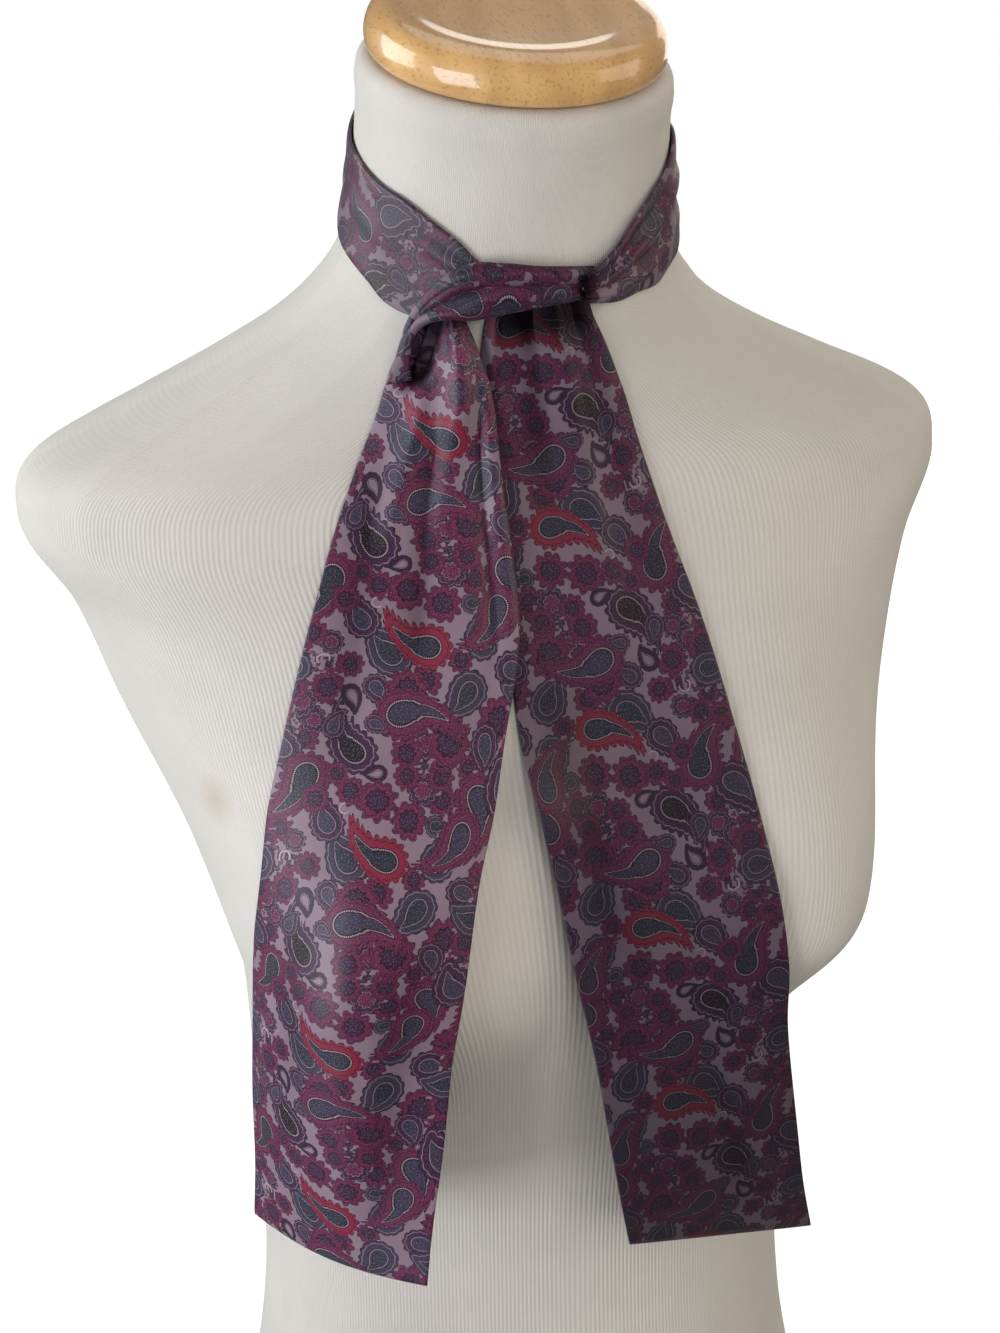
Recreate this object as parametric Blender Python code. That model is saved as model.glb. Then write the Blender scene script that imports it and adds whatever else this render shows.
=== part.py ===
"""A lined silk neck scarf tied in one half knot on a limbless dress form.

Metres, +Z up, the form's chest faces -Y, and +X is the side that a viewer in front of
it sees on the right. The origin is the centre of the form's flat base.
"""
import math

import bpy
import numpy as np

MM = 0.001

# Counts of rings and points round each loft
FORM_RINGS = 64
FORM_POINTS = 56
BAND_STATIONS = 76
TAIL_STATIONS = 46
WRAP_STATIONS = 30
STRIP_COLUMNS = 9
CAP_POINTS = 44

# How the place on the form under a point is found: rounds, pace and furthest share of the
# half width, and how far apart the points are whose difference gives a direction
SEEK_ROUNDS = 14
SEEK_PACE = 0.8
WIDEST_SHARE = 0.985
NEAR = 0.5

# The form: one row per level ring, in millimetres and degrees.
# Front and back are the depths either side of the ring's centre line.
FORM_COLUMNS = ("height", "centre", "tilt", "half_width", "front", "back", "fullness")
FORM_SECTIONS = (
    (0.0, -22, 0, 143, 96, 106, 2.2),
    (60.0, -24, 0, 131, 92, 98, 2.2),
    (120.0, -27, 0, 119, 84, 84, 2.2),
    (170.0, -29, 0, 114, 76, 76, 2.2),
    (220.0, -29, 0, 113, 74, 76, 2.2),
    (275.0, -27, 0, 113, 80, 80, 2.25),
    (330.0, -22, 0, 115.5, 90, 86, 2.3),
    (390.0, -15, 0, 131, 94, 90, 2.35),
    (440.0, -6, 0, 152, 93, 88, 2.35),
    (480.0, 0, 0, 166, 90, 86, 2.35),
    (508.0, 4, 0, 181, 80, 80, 2.3),
    (528.0, 4, 1, 173, 74, 73, 2.25),
    (543.0, 2, 3, 141, 70, 68, 2.15),
    (556.0, -2, 5, 113, 66, 66, 2.05),
    (572.0, -8, 8, 85, 60, 62, 2.0),
    (590.0, -14, 11, 66, 56, 59, 2.0),
    (614.0, -18, 13, 57.5, 55, 57, 2.0),
    (640.0, -21, 14, 55, 55, 56, 2.0),
    (664.0, -25, 14, 54.5, 55, 56, 2.0),
)
BASE_ROUNDING = 5.0
NECK_ROUNDING = 5.0
ROUNDING_TURNS = (30, 60, 90)
PATH_POINTS = 800

# The bust: two soft mounds on the chest, in millimetres
BUST_SPACING = 82.0
BUST_HEIGHT = 364.0
BUST_REACH = 50.0
BUST_WIDTH = 44.0
BUST_ABOVE = 58.0
BUST_BELOW = 33.0
BUST_FORWARD = 0.86
BUST_OUTWARD = 0.42
BUST_INNER = 60.0
BUST_FADE = 0.7

# The turned wooden neck cap: radius as a share of the neck, and height above its seat
CAP_COLUMNS = ("share", "height")
CAP_PROFILE = (
    (0.860, 0.0),
    (0.925, 1.2),
    (0.950, 4.0),
    (0.950, 9.0),
    (0.925, 12.5),
    (0.870, 15.0),
    (0.790, 16.0),
    (0.600, 15.4),
    (0.300, 14.6),
    (0.010, 14.3),
)
CAP_SEAT_GAP = 0.35

# The cloth, in millimetres
TAIL_WALL = 1.6
BAND_WALL = 2.0
WRAP_WALL = 3.4
EDGE_WALL = 0.9
EDGE_POWER = 6
SKIN_GAP = 0.4

# The neck band: one row per angle round the neck, from behind the front wrap, round the
# back and forward again. Edges are ring heights; the fold is a low ridge along the band.
BAND_COLUMNS = ("angle", "top", "bottom", "stand_off", "ridge")
NECK_BAND = (
    (256, 610.5, 597.5, 0.0, 0.0),
    (250, 612, 596, 0.0, 0.0),
    (243, 615, 593.5, 0.0, 0.0),
    (236, 620.5, 592, 0.0, 0.1),
    (225, 626, 591.5, 0.1, 0.2),
    (214, 630, 593.5, 0.2, 0.3),
    (204, 633, 597.5, 0.2, 0.3),
    (194, 636, 601, 0.1, 0.2),
    (180, 639, 604, 0.0, 0.0),
    (158, 642, 607, 0.0, 0.0),
    (130, 646, 610, 0.2, 0.2),
    (90, 649, 613, 0.4, 0.4),
    (50, 648, 612, 0.2, 0.2),
    (22, 647, 609, 0.1, 0.0),
    (0, 646, 606.5, 0.3, 0.2),
    (-28, 645, 604.5, 0.8, 0.5),
    (-40, 636.5, 602.5, 1.0, 0.8),
    (-51, 632.5, 598.5, 1.0, 1.0),
    (-62, 625.5, 596.5, 1.2, 1.1),
    (-70, 618.5, 596.5, 1.7, 1.2),
    (-78, 613.0, 597.0, 2.4, 1.2),
)

RIDGE_PLACE = 0.38
RIDGE_WIDTH = 0.14

# The front wrap: it crosses the throat over the band's hidden end, then its cloth rolls
# over a slanting fold and turns down into the left tail. Each row is one station with
# its upper and its lower edge.
WRAP_COLUMNS = ("up_x", "up_z", "down_x", "down_z", "stand_off", "bulge")
FRONT_WRAP = (
    (12.0, 600.8, 12.4, 586.6, 5.0, 0.6),
    (4.0, 602.0, 4.4, 586.0, 5.2, 1.0),
    (-8.0, 603.4, -7.0, 585.6, 5.4, 1.4),
    (-18.0, 604.4, -16.0, 584.6, 5.6, 1.6),
    (-26.0, 604.4, -22.5, 583.2, 6.0, 1.8),
    (-33.0, 600.0, -27.0, 581.6, 6.4, 2.0),
    (-39.5, 594.4, -29.6, 579.8, 6.4, 2.0),
    (-44.0, 588.2, -30.6, 577.8, 6.0, 1.8),
    (-46.4, 582.0, -30.6, 575.8, 5.4, 1.4),
)

# The tails: one row per station down the cloth, with its two edges. Where the form is
# fuller than the reach the cloth lies on the form, and elsewhere it hangs at the reach.
TAIL_COLUMNS = (
    "left_x", "left_z", "left_reach", "left_off",
    "right_x", "right_z", "right_reach", "right_off", "bow", "drape",
)
LEFT_TAIL = (
    (-46.9, 581.2, 0, 4.6, -30.4, 575.2, 0, 4.8, 1.6, 0.0),
    (-50.0, 574.0, 0, 3.6, -27.6, 570.0, 0, 4.9, 3.0, 0.0),
    (-54.0, 565.0, 0, 2.4, -25.0, 563.0, 0, 5.0, 3.0, 0.0),
    (-61.0, 551.0, 0, 1.6, -22.8, 550.0, 0, 5.2, 2.2, 0.0),
    (-70.0, 535.0, 0, 1.4, -21.5, 535.0, 0, 5.2, 1.2, 0.0),
    (-79.0, 517.0, 0, 1.3, -20.8, 518.0, 0, 5.0, 0.6, 0.0),
    (-87.0, 499.0, 0, 1.3, -20.5, 500.0, 0, 4.8, 0.4, 0.0),
    (-95.0, 481.0, 0, 1.3, -22.5, 478.0, 70, 4.6, 0.3, 0.0),
    (-101.5, 463.0, 40, 1.3, -25.5, 459.0, 85, 4.4, 0.0, 0.0),
    (-107.0, 446.0, 60, 1.3, -28.5, 440.0, 100, 4.0, 0.0, 0.0),
    (-112.5, 428.0, 84, 1.3, -34.0, 418.0, 120, 3.2, 0.0, 8.0),
    (-117.0, 404.0, 94, 1.3, -46.0, 396.0, 134, 2.4, 0.0, 22.0),
    (-121.0, 377.0, 97, 1.3, -58.0, 366.0, 141, 1.6, 0.0, 27.0),
    (-123.0, 347.0, 97, 1.3, -64.0, 338.0, 146, 1.4, 0.0, 22.0),
    (-125.0, 313.0, 96, 1.3, -69.0, 308.0, 150, 1.4, 0.0, 15.0),
    (-126.0, 277.0, 95, 1.3, -74.0, 275.0, 152, 1.4, 0.0, 9.0),
    (-127.5, 255.0, 94, 1.3, -76.0, 256.0, 153, 1.4, 0.0, 6.0),
)
RIGHT_TAIL = (
    (-24.0, 582.6, 0, 1.3, 11.6, 583.4, 0, 1.3, 0.8, 0.0),
    (-25.2, 573.0, 0, 1.3, 18.5, 574.0, 0, 1.3, 0.8, 0.0),
    (-26.0, 556.0, 0, 1.3, 26.0, 557.0, 0, 1.3, 0.6, 0.0),
    (-26.4, 536.0, 0, 1.3, 33.0, 533.0, 0, 1.3, 0.4, 0.0),
    (-26.5, 514.0, 0, 1.3, 39.5, 508.0, 0, 1.3, 0.2, 0.0),
    (-26.5, 488.0, 0, 1.3, 46.0, 482.0, 0, 1.3, 0.0, 0.0),
    (-26.0, 462.0, 60, 1.3, 51.5, 456.0, 40, 1.3, 0.0, 0.0),
    (-25.0, 432.0, 114, 1.3, 56.5, 426.0, 90, 1.3, 0.0, 0.0),
    (-20.5, 400.0, 122, 1.3, 61.0, 394.0, 126, 1.3, 0.0, 0.0),
    (-15.0, 366.0, 129, 1.3, 65.0, 360.0, 138, 1.3, 0.0, 0.0),
    (-10.5, 328.0, 135, 1.3, 68.5, 320.0, 137, 1.3, 0.0, 0.0),
    (-8.5, 290.0, 139, 1.3, 72.5, 280.0, 138, 1.3, 0.0, 0.0),
    (-4.0, 262.0, 140, 1.3, 78.0, 250.0, 136, 1.3, 0.0, 0.0),
    (8.0, 240.0, 137, 1.3, 87.0, 225.0, 132, 1.3, 0.0, 0.0),
)
HANG_SOFTNESS = 14.0


def named(columns, rows):
    """Columns of a table by name, as arrays."""
    table = np.array(rows, float)
    return {name: table[:, i] for i, name in enumerate(columns)}


def eased(keys, values, at):
    """Smooth curve through values at rising keys, with one slope at each key."""
    keys = np.asarray(keys, float)
    values = np.asarray(values, float)
    at = np.asarray(at, float)
    step = np.diff(keys)
    rise = np.diff(values) / step
    slope = np.empty_like(values)
    slope[0] = rise[0]
    slope[-1] = rise[-1]
    slope[1:-1] = (step[1:] * rise[:-1] + step[:-1] * rise[1:]) / (step[1:] + step[:-1])
    i = np.clip(np.searchsorted(keys, at) - 1, 0, len(keys) - 2)
    t = (at - keys[i]) / step[i]
    start = (1 + 2 * t) * (1 - t) ** 2 * values[i] + t * (1 - t) ** 2 * step[i] * slope[i]
    end = t * t * (3 - 2 * t) * values[i + 1] + t * t * (t - 1) * step[i] * slope[i + 1]
    return start + end


FORM = named(FORM_COLUMNS, FORM_SECTIONS)


def section(name, height):
    return eased(FORM["height"], FORM[name], height)


def bust(x, z):
    """How far the bust lifts the chest at x and z, in millimetres."""
    side = np.exp(-((np.abs(x) - BUST_SPACING) ** 2) / (2 * BUST_WIDTH**2))
    tall = np.where(z > BUST_HEIGHT, BUST_ABOVE, BUST_BELOW)
    return BUST_REACH * side * np.exp(-((z - BUST_HEIGHT) ** 2) / (2 * tall**2))


def form_points(angle, height):
    """Points on the form at angles (-90 degrees is the front) on rings of given height."""
    angle, height = np.broadcast_arrays(np.radians(angle), np.asarray(height, float))
    across = np.cos(angle)
    along = np.sin(angle)
    power = 2 / section("fullness", height)
    depth = np.where(along < 0, section("front", height), section("back", height))
    x = section("half_width", height) * np.sign(across) * np.abs(across) ** power
    out = depth * np.sign(along) * np.abs(along) ** power
    tilt = np.radians(section("tilt", height))
    y = section("centre", height) + out * np.cos(tilt)
    z = height + out * np.sin(tilt)
    lift = bust(x, z) * np.clip(-along, 0, 1) ** BUST_FADE
    y = y - BUST_FORWARD * lift
    x = x + np.sign(x) * BUST_OUTWARD * lift * np.clip(np.abs(x) / BUST_INNER, 0, 1)
    return np.stack([x, y, z], axis=-1)


def form_normals(angle, height):
    """Outward directions of the form's surface at the same places."""
    turn = form_points(angle + NEAR, height) - form_points(angle - NEAR, height)
    climb = form_points(angle, height + NEAR) - form_points(angle, height - NEAR)
    normal = np.cross(turn, climb)
    return normal / np.linalg.norm(normal, axis=-1, keepdims=True)


def front_places(x, z):
    """Angle and ring height of the front surface's points with the given x and z."""
    height = np.array(z, float)
    angle = np.full_like(height, -90.0)
    base = np.array(x, float)
    for _ in range(SEEK_ROUNDS):
        share = np.clip(base / section("half_width", height), -WIDEST_SHARE, WIDEST_SHARE)
        half = section("fullness", height) / 2
        across = np.sign(share) * np.abs(share) ** half
        angle = -np.degrees(np.arccos(across))
        found = form_points(angle, height)
        base = base + SEEK_PACE * (x - found[..., 0])
        height = height + SEEK_PACE * (z - found[..., 2])
    return angle, height


def on_front(x, z, off):
    """Points at a distance off the form's front surface."""
    angle, height = front_places(x, z)
    return form_points(angle, height) + form_normals(angle, height) * off[..., None]


def ring_faces(rings, points, first):
    """Quads between closed rings of points, stacked in order."""
    i = np.arange(rings - 1)[:, None] * points + first
    j = np.arange(points)
    k = (j + 1) % points
    quads = np.stack([i + j, i + k, i + points + k, i + points + j], axis=-1)
    return quads.reshape(-1, 4)


def new_object(name, vertices, faces, material, collection):
    mesh = bpy.data.meshes.new(name)
    mesh.from_pydata((np.asarray(vertices) * MM).tolist(), [], faces)
    mesh.validate()
    obj = bpy.data.objects.new(name, mesh)
    obj.data.materials.append(material)
    collection.objects.link(obj)
    return obj


def new_material(name, colour, roughness, metallic=0.0):
    material = bpy.data.materials.new(name)
    material.use_nodes = True
    shader = material.node_tree.nodes["Principled BSDF"]
    shader.inputs["Base Color"].default_value = (*colour, 1.0)
    shader.inputs["Roughness"].default_value = roughness
    shader.inputs["Metallic"].default_value = metallic
    return material


def capped_loft(name, rings, material, collection):
    """One closed body through rings of points, each end closed by its own flat polygon."""
    count, points, _ = rings.shape
    faces = ring_faces(count, points, 0).tolist()
    faces.append(list(range(points))[::-1])
    faces.append([(count - 1) * points + j for j in range(points)])
    return new_object(name, rings.reshape(-1, 3), faces, material, collection)


def strip_rings(middle, wall):
    """Closed rings round a grid of mid-surface points, as a flat cloth with soft edges."""
    along = np.gradient(middle, axis=0)
    across = np.gradient(middle, axis=1)
    normal = np.cross(along, across)
    normal /= np.linalg.norm(normal, axis=-1, keepdims=True)
    place = np.linspace(-1, 1, middle.shape[1])
    half = EDGE_WALL / 2 + (wall - EDGE_WALL) / 2 * (1 - place**EDGE_POWER)
    outer = middle + normal * half[None, :, None]
    inner = middle - normal * half[None, :, None]
    return np.concatenate([inner, outer[:, ::-1]], axis=1)


def blend(reach, surface):
    """The larger of two depths, rounded where they meet."""
    soft = HANG_SOFTNESS
    gap = np.abs(reach - surface)
    lift = np.clip(soft - gap, 0, soft) ** 2 / (4 * soft)
    return np.maximum(reach, surface) + lift


def tail_surface(rows, stations):
    """Mid-surface of a tail, laid on the form's front or hanging clear of it."""
    table = named(TAIL_COLUMNS, rows)
    key = np.concatenate([[0], np.cumsum(np.hypot(
        np.diff(table["left_x"] + table["right_x"]) / 2,
        np.diff(table["left_z"] + table["right_z"]) / 2,
    ))])
    at = np.linspace(0, key[-1], stations)[:, None]
    part = np.linspace(0, 1, STRIP_COLUMNS)[None, :]
    value = {name: eased(key, column, at) for name, column in table.items()}

    def between(name):
        return value["left_" + name] * (1 - part) + value["right_" + name] * part

    arch = np.sin(math.pi * part)
    wide = value["right_x"] - value["left_x"]
    turned = value["right_reach"] - value["left_reach"]
    chord = np.hypot(wide, turned)
    x = between("x") - value["drape"] * arch * turned / chord
    z = between("z") + 0 * at
    reach = between("reach") + value["drape"] * arch * wide / chord
    laid = on_front(x, z, between("off") + value["bow"] * arch)
    surface = -laid[..., 1]
    free = np.clip((reach - surface) / HANG_SOFTNESS + 0.5, 0, 1)[..., None]
    hung = np.stack([x, -reach, z], axis=-1)
    placed = laid * (1 - free) + hung * free
    placed[..., 1] = -blend(reach, surface)
    return placed


def neck_cap_rings():
    """Rings of the cap on the neck's tilted top."""
    table = named(CAP_COLUMNS, CAP_PROFILE)
    top = FORM["height"][-1]
    angle = np.arange(CAP_POINTS) * 360 / CAP_POINTS
    rim = form_points(angle, top)
    middle = rim.mean(axis=0)
    tilt = math.radians(FORM["tilt"][-1])
    up = np.array([0, -math.sin(tilt), math.cos(tilt)])
    share = table["share"][:, None, None]
    lift = (table["height"] + CAP_SEAT_GAP)[:, None, None]
    return middle + (rim - middle) * share + up * lift


def form_rings():
    """Rings of the form, spaced evenly along its side, with rounded rims at both ends."""
    height = FORM["height"]
    fine = np.linspace(height[0], height[-1], PATH_POINTS)
    path = np.concatenate([[0], np.cumsum(np.hypot(
        np.diff(fine), np.diff(section("half_width", fine))
    ))])
    start = BASE_ROUNDING
    end = path[-1] - NECK_ROUNDING
    even = np.interp(np.linspace(start, end, FORM_RINGS), path, fine)
    angle = np.arange(FORM_POINTS) * 360 / FORM_POINTS
    rings = [form_points(angle, level) for level in even]
    low = rings[0]
    high = rings[-1]
    for turn in ROUNDING_TURNS:
        sink = BASE_ROUNDING * math.sin(math.radians(turn))
        pull = BASE_ROUNDING * (1 - math.cos(math.radians(turn)))
        rings.insert(0, shrunk(low, pull, np.array([0, 0, -sink])))
    tilt = math.radians(FORM["tilt"][-1])
    up = np.array([0, -math.sin(tilt), math.cos(tilt)])
    for turn in ROUNDING_TURNS:
        rise = NECK_ROUNDING * math.sin(math.radians(turn))
        pull = NECK_ROUNDING * (1 - math.cos(math.radians(turn)))
        rings.append(shrunk(high, pull, up * rise))
    stacked = np.array(rings)
    stacked[0, :, 2] = 0.0
    return stacked


def shrunk(ring, pull, shift):
    """A ring drawn in towards its middle by a distance, then moved."""
    middle = ring.mean(axis=0)
    arm = ring - middle
    length = np.linalg.norm(arm, axis=-1, keepdims=True)
    return middle + arm * (1 - pull / length) + shift


def band_surface():
    """Mid-surface of the neck band, an even offset from the neck."""
    table = named(BAND_COLUMNS, NECK_BAND)
    turn = -table["angle"]
    at = np.linspace(turn[0], turn[-1], BAND_STATIONS)[:, None]
    part = np.linspace(0, 1, STRIP_COLUMNS)[None, :]
    top = eased(turn, table["top"], at)
    bottom = eased(turn, table["bottom"], at)
    height = top * (1 - part) + bottom * part
    angle = -at + 0 * part
    off = SKIN_GAP + BAND_WALL / 2 + eased(turn, table["stand_off"], at)
    off = off + eased(turn, table["ridge"], at) * np.exp(-(((part - RIDGE_PLACE) / RIDGE_WIDTH) ** 2))
    return form_points(angle, height) + form_normals(angle, height) * off[..., None]


def wrap_surface():
    """Mid-surface of the cloth across the throat and down over its rolled fold."""
    table = named(WRAP_COLUMNS, FRONT_WRAP)
    key = np.concatenate([[0], np.cumsum(np.hypot(
        np.diff(table["up_x"] + table["down_x"]) / 2,
        np.diff(table["up_z"] + table["down_z"]) / 2,
    ))])
    at = np.linspace(0, key[-1], WRAP_STATIONS)[:, None]
    part = np.linspace(0, 1, STRIP_COLUMNS)[None, :]
    value = {name: eased(key, column, at) for name, column in table.items()}
    x = value["up_x"] * (1 - part) + value["down_x"] * part
    z = value["up_z"] * (1 - part) + value["down_z"] * part
    off = value["stand_off"] + value["bulge"] * np.sin(math.pi * part)
    return on_front(x, z, off)


def cloth(name, middle, wall, material, collection):
    return capped_loft(name, strip_rings(middle, wall), material, collection)


def build():
    for obj in list(bpy.data.objects):
        bpy.data.objects.remove(obj, do_unlink=True)
    collection = bpy.data.collections.new("neck_scarf_on_dress_form")
    bpy.context.scene.collection.children.link(collection)
    jersey = new_material("ivory_jersey", (0.76, 0.73, 0.66), 0.85)
    wood = new_material("varnished_wood", (0.62, 0.36, 0.15), 0.25)
    silk = {
        name: new_material(name, (0.16, 0.07, 0.12), 0.45)
        for name in ("band_silk", "wrap_silk", "left_tail_silk", "right_tail_silk")
    }
    capped_loft("form_body", form_rings(), jersey, collection)
    capped_loft("form_neck_cap", neck_cap_rings(), wood, collection)
    cloth("scarf_neck_band", band_surface(), BAND_WALL, silk["band_silk"], collection)
    cloth("scarf_front_wrap", wrap_surface(), WRAP_WALL, silk["wrap_silk"], collection)
    left = tail_surface(LEFT_TAIL, TAIL_STATIONS)
    right = tail_surface(RIGHT_TAIL, TAIL_STATIONS)
    cloth("scarf_left_tail", left, TAIL_WALL, silk["left_tail_silk"], collection)
    cloth("scarf_right_tail", right, TAIL_WALL, silk["right_tail_silk"], collection)


build()
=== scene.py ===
"""A lined silk neck scarf in one half knot on a limbless dress form, dressed in its finishes.

It is laid out as an add-on and run as a script: each operator makes one piece or one
group of like pieces, and the settings hold the sizes and colours that may be changed.
Lengths in the tables are millimetres, angles are degrees, +X is the viewer's right.
"""
import math

import bmesh
import bpy
import numpy as np
from bpy.props import FloatProperty, FloatVectorProperty, IntProperty, PointerProperty
from bpy.types import Operator, Panel, PropertyGroup
from mathutils import Matrix, Vector


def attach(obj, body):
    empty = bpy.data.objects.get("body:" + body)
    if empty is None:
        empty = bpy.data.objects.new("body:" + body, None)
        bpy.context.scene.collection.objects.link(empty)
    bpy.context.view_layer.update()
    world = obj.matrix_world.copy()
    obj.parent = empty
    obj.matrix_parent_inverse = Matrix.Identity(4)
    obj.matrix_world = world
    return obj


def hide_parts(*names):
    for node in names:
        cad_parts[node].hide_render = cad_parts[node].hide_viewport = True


bl_info = {
    "name": "Neck scarf on a dress form",
    "version": (1, 0, 0),
    "blender": (4, 5, 0),
    "location": "View3D > Sidebar > Scarf",
    "description": "Builds a printed silk neck scarf and the dress form that it is tied on",
    "category": "Object",
}

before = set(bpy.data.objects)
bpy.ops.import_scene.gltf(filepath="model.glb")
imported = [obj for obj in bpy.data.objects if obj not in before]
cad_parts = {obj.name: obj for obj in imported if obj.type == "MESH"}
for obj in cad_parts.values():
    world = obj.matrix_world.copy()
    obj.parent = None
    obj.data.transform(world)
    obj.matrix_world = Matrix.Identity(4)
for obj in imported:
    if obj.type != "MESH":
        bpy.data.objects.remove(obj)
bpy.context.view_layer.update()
MM = 0.001

# Finest counts of each surface: rings or stations, then points or columns
FORM_GRID = (300, 288)
CAP_GRID = (150, 180)
BAND_GRID = (560, 58)
WRAP_GRID = (200, 90)
TAIL_GRID = (400, 84)
SEEK_ROUNDS = 16
SEEK_PACE = 0.8
WIDEST_SHARE = 0.985
NEAR = 0.5

# The form: one row per level ring
FORM_COLUMNS = ("height", "centre", "tilt", "half_width", "front", "back", "fullness")
FORM_SECTIONS = (
    (0.0, -22, 0, 143, 96, 106, 2.2),
    (60.0, -24, 0, 131, 92, 98, 2.2),
    (120.0, -27, 0, 119, 84, 84, 2.2),
    (170.0, -29, 0, 114, 76, 76, 2.2),
    (220.0, -29, 0, 113, 74, 76, 2.2),
    (275.0, -27, 0, 113, 80, 80, 2.25),
    (330.0, -22, 0, 115.5, 90, 86, 2.3),
    (390.0, -15, 0, 131, 94, 90, 2.35),
    (440.0, -6, 0, 152, 93, 88, 2.35),
    (480.0, 0, 0, 166, 90, 86, 2.35),
    (508.0, 4, 0, 181, 80, 80, 2.3),
    (528.0, 4, 1, 173, 74, 73, 2.25),
    (543.0, 2, 3, 141, 70, 68, 2.15),
    (556.0, -2, 5, 113, 66, 66, 2.05),
    (572.0, -8, 8, 85, 60, 62, 2.0),
    (590.0, -14, 11, 66, 56, 59, 2.0),
    (614.0, -18, 13, 57.5, 55, 57, 2.0),
    (640.0, -21, 14, 55, 55, 56, 2.0),
    (664.0, -25, 14, 54.5, 55, 56, 2.0),
)
RIM_ROUNDING = 5.0
RIM_STEPS = 8
PATH_POINTS = 800
FORM_GIRTH = 2 * math.pi * 96.0

# The bust: two soft mounds on the chest
BUST_SPACING = 82.0
BUST_HEIGHT = 364.0
BUST_REACH = 50.0
BUST_WIDTH = 44.0
BUST_ABOVE = 58.0
BUST_BELOW = 33.0
BUST_FORWARD = 0.86
BUST_OUTWARD = 0.42
BUST_INNER = 60.0
BUST_FADE = 0.7

# Soft folds and edges in the jersey: a ridge (or a hollow, where low) between two places
# on the form, each given as an angle and a ring height
DEGREE_LENGTH = 2.3
FORM_FOLD_COLUMNS = ("angle_a", "height_a", "angle_b", "height_b", "width", "lift")
FORM_FOLDS = (
    (-10, 588, -15.5, 560, 5.0, 0.7),
    (-15.5, 560, -23, 538, 5.0, 1.1),
    (-23, 538, -30, 512, 6.0, 0.8),
    (-32, 585, -40, 556, 9.0, 0.35),
    (-46, 590, -52, 548, 8.0, 0.3),
    (-143, 588, -138, 548, 8.0, 0.35),
    (-165, 566, -157, 538, 6.0, 0.6),
    (-157, 538, -150, 512, 7.0, 0.5),
    (23, 562, 30, 524, 7.0, 0.6),
    (157, 562, 150, 524, 7.0, 0.6),
    (60, 590, 66, 545, 10.0, 0.4),
    (118, 592, 112, 548, 10.0, 0.35),
    (-180, 655.5, 180, 655.5, 3.0, 0.55),
)

# The turned wooden neck cap: radius as a share of the neck, and height above its seat
CAP_COLUMNS = ("share", "height")
CAP_PROFILE = (
    (0.010, 0.0),
    (0.500, 0.0),
    (0.860, 0.0),
    (0.925, 1.2),
    (0.950, 4.0),
    (0.950, 9.0),
    (0.925, 12.5),
    (0.870, 15.0),
    (0.790, 16.0),
    (0.600, 15.4),
    (0.300, 14.6),
    (0.010, 14.3),
)
CAP_SEAT_GAP = 0.35

# The cloth
TAIL_WALL = 1.6
BAND_WALL = 2.0
WRAP_WALL = 3.0
EDGE_WALL = 0.8
EDGE_POWER = 10
SKIN_GAP = 0.4
TAIL_CLEAR = 1.3

# Painted shade, as a share of black: full at a hollow of HOLLOW_DEPTH, and at the ends
# that are tucked into the knot, where each pair says between which shares it fades
HOLLOW_DEPTH = 5.5
HOLLOW_MOST = 0.9
SHADE_MOST = 0.95
TAIL_TUCK_SHADE = 0.8
LEFT_TUCK = 0.04
RIGHT_TUCK = 0.065
BAND_END_SHADE = 0.85
BAND_END = (0.978, 0.997)
WRAP_END_SHADE = 0.7
WRAP_END = (0.0, 0.06)
END_THIN = 0.45
END_STATIONS = 3

# The neck band: one row per angle round the neck. Edges are ring heights.
BAND_COLUMNS = ("angle", "top", "bottom", "stand_off", "ridge")
NECK_BAND = (
    (256, 610.5, 597.5, 0.0, 0.0),
    (250, 612, 596, 0.0, 0.0),
    (243, 615, 593.5, 0.0, 0.0),
    (236, 620.5, 592, 0.0, 0.1),
    (225, 626, 591.5, 0.1, 0.2),
    (214, 630, 593.5, 0.2, 0.3),
    (204, 631, 597.5, 0.0, 0.2),
    (194, 632.5, 600, 0.0, 0.1),
    (180, 634.5, 602, 0.0, 0.0),
    (158, 636.5, 605, 0.0, 0.0),
    (130, 641, 607, 0.2, 0.2),
    (90, 645, 610, 0.4, 0.4),
    (50, 643.5, 609, 0.1, 0.2),
    (22, 641, 606.5, 0.0, 0.0),
    (0, 640.5, 604.5, 0.0, 0.1),
    (-28, 640.5, 602.5, 0.2, 0.2),
    (-40, 636, 601.5, 0.5, 0.4),
    (-51, 632.0, 598.5, 0.9, 0.6),
    (-62, 625.5, 599.0, 1.6, 0.8),
    (-70, 619.5, 598.6, 2.8, 0.9),
    (-78, 614.8, 600.2, 4.6, 0.8),
    (-85, 611.5, 602.2, 5.8, 0.3),
)
RIDGE_PLACE = 0.38
RIDGE_WIDTH = 0.1

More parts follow.
